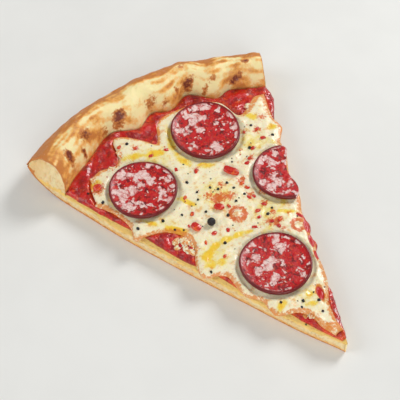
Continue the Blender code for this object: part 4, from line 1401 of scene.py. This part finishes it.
class PIZZA_OT_peppers(bpy.types.Operator):
    """Four pieces of red pepper and a black peppercorn"""

    bl_idname = "pizza.peppers"
    bl_label = "Pepper pieces"

    def execute(self, context):
        colours = context.scene.pizza_colours
        red = pepper_finish(colours)
        for number, (x, y, *size, turn) in enumerate(PEPPER_PIECES, 1):
            piece = chopped_piece([side * MM for side in size], math.radians(turn), number)
            place = (*in_frame(x, y), PIECE_SEAT + size[2] / 2 * MM)
            bmesh.ops.translate(piece, verts=piece.verts, vec=place)
            add_piece(f"pepper_piece_{number}", piece, red, "pepper_red", f"red_pepper_piece_{number}")
        x, y, size = PEPPERCORN
        corn = bmesh.new()
        bmesh.ops.create_icosphere(corn, subdivisions=5, radius=size / 2 * MM)
        for vert in corn.verts:
            fold = abs(noise.noise(vert.co / (1.0 * MM)))
            vert.co *= 0.94 + 0.16 * min(fold, 0.35)
        place = (*in_frame(x, y), PIECE_SEAT + 0.45 * size * MM)
        bmesh.ops.translate(corn, verts=corn.verts, vec=place)
        add_piece("black_peppercorn", corn, peppercorn_finish(colours), "peppercorn_black", "peppercorn")
        return {"FINISHED"}


class PIZZA_OT_flakes(bpy.types.Operator):
    """Chilli flakes, pepper grains and the fine dust of both"""

    bl_idname = "pizza.flakes"
    bl_label = "Flakes and grains"

    def execute(self, context):
        below = surfaces("melted_cheese", "tomato_sauce", "crust")
        flakes, grains = bmesh.new(), bmesh.new()
        for seed, (x, y, is_red, size, turn) in enumerate(flake_places()):
            piece = chopped_piece(size, turn, seed, 3, 0.4)
            join_into(flakes if is_red else grains, piece, surface_at(below, x, y))
        draw = random.Random(23)
        for zone_x, zone_y, spread, count in DUST_ZONES:
            for seed in range(count):
                across = zone_x + draw.gauss(0, 0.6) * spread
                x, y = in_frame(across, zone_y + draw.gauss(0, 0.6) * spread)
                turn, side = draw.uniform(0, math.tau), draw.uniform(*DUST_SIZE)
                red = draw.random() < DUST_RED_SHARE
                place = surface_at(below, x, y)
                if place is None or seat_blend(x, y)[2] < DUST_MARGIN:
                    continue
                size = (side * 1.4, side, side * 0.8)
                join_into(flakes if red else grains, chopped_piece(size, turn, seed, 1), place)
        add_piece("chilli_flakes", flakes, finish_of("pepper_piece_1"), "pepper_red", "cheese")
        add_piece("pepper_grains", grains, finish_of("black_peppercorn"), "peppercorn_black", "cheese")
        return {"FINISHED"}


class PIZZA_OT_stage(bpy.types.Operator):
    """Plain pale floor, soft lights and the camera"""

    bl_idname = "pizza.stage"
    bl_label = "Stage"

    def execute(self, context):
        scene = context.scene
        bm = bmesh.new()
        bmesh.ops.create_grid(bm, x_segments=1, y_segments=1, size=scene.pizza_sizes.floor_side / 2)
        mesh = bpy.data.meshes.new("floor")
        bm.to_mesh(mesh)
        bm.free()
        mesh.materials.append(floor_finish(scene.pizza_colours))
        floor = bpy.data.objects.new("floor", mesh)
        scene.collection.objects.link(floor)
        for name, (place, side, power) in LIGHTS.items():
            add_light(name, place, side, power)
        world = bpy.data.worlds.new("soft_room")
        world.use_nodes = True
        room = world.node_tree.nodes["Background"].inputs
        room["Color"].default_value = (1, 1, 1, 1)
        room["Strength"].default_value = ROOM_BRIGHTNESS
        scene.world = world
        scene.view_settings.view_transform = "Standard"
        add_camera(scene)
        return {"FINISHED"}


def add_light(name, place, side, power):
    light = bpy.data.lights.new(name, "AREA")
    light.shape = "DISK"
    light.size = side
    light.energy = power
    lamp = bpy.data.objects.new(name, light)
    lamp.location = place
    lamp.rotation_euler = Vector(place).to_track_quat("Z", "Y").to_euler()
    bpy.context.scene.collection.objects.link(lamp)


def add_camera(scene):
    a, e = CAMERA_AZIMUTH, CAMERA_ELEVATION
    back = Vector((math.sin(a) * math.cos(e), -math.cos(a) * math.cos(e), math.sin(e)))
    lens = bpy.data.cameras.new("camera")
    lens.lens = CAMERA_LENS
    lens.sensor_width = CAMERA_SENSOR
    lens.clip_start = 0.01
    camera = bpy.data.objects.new("camera", lens)
    camera.location = Vector(CAMERA_TARGET) + back * CAMERA_DISTANCE
    camera.rotation_euler = back.to_track_quat("Z", "Y").to_euler()
    scene.collection.objects.link(camera)
    scene.camera = camera


class PIZZA_PT_pieces(bpy.types.Panel):
    """Every piece of the slice, in the order that they are made"""

    bl_idname = "PIZZA_PT_pieces"
    bl_label = "Pizza slice"
    bl_space_type = "VIEW_3D"
    bl_region_type = "UI"
    bl_category = "Pizza slice"

    def draw(self, context):
        for operator in OPERATORS:
            self.layout.operator(operator.bl_idname)
        for group in (context.scene.pizza_sizes, context.scene.pizza_colours):
            box = self.layout.box()
            for name in group.__annotations__:
                box.prop(group, name)


OPERATORS = (
    PIZZA_OT_dough,
    PIZZA_OT_sauce,
    PIZZA_OT_cheese,
    PIZZA_OT_curds,
    PIZZA_OT_salami,
    PIZZA_OT_peppers,
    PIZZA_OT_flakes,
    PIZZA_OT_stage,
)
CLASSES = (PizzaSizes, PizzaColours, *OPERATORS, PIZZA_PT_pieces)


def register():
    for made in CLASSES:
        bpy.utils.register_class(made)
    bpy.types.Scene.pizza_sizes = PointerProperty(type=PizzaSizes)
    bpy.types.Scene.pizza_colours = PointerProperty(type=PizzaColours)


def unregister():
    del bpy.types.Scene.pizza_colours
    del bpy.types.Scene.pizza_sizes
    for made in reversed(CLASSES):
        bpy.utils.unregister_class(made)


def main():
    register()
    for operator in OPERATORS:
        group, name = operator.bl_idname.split(".")
        getattr(getattr(bpy.ops, group), name)()
    bpy.context.view_layer.update()


if __name__ == "__main__":
    main()
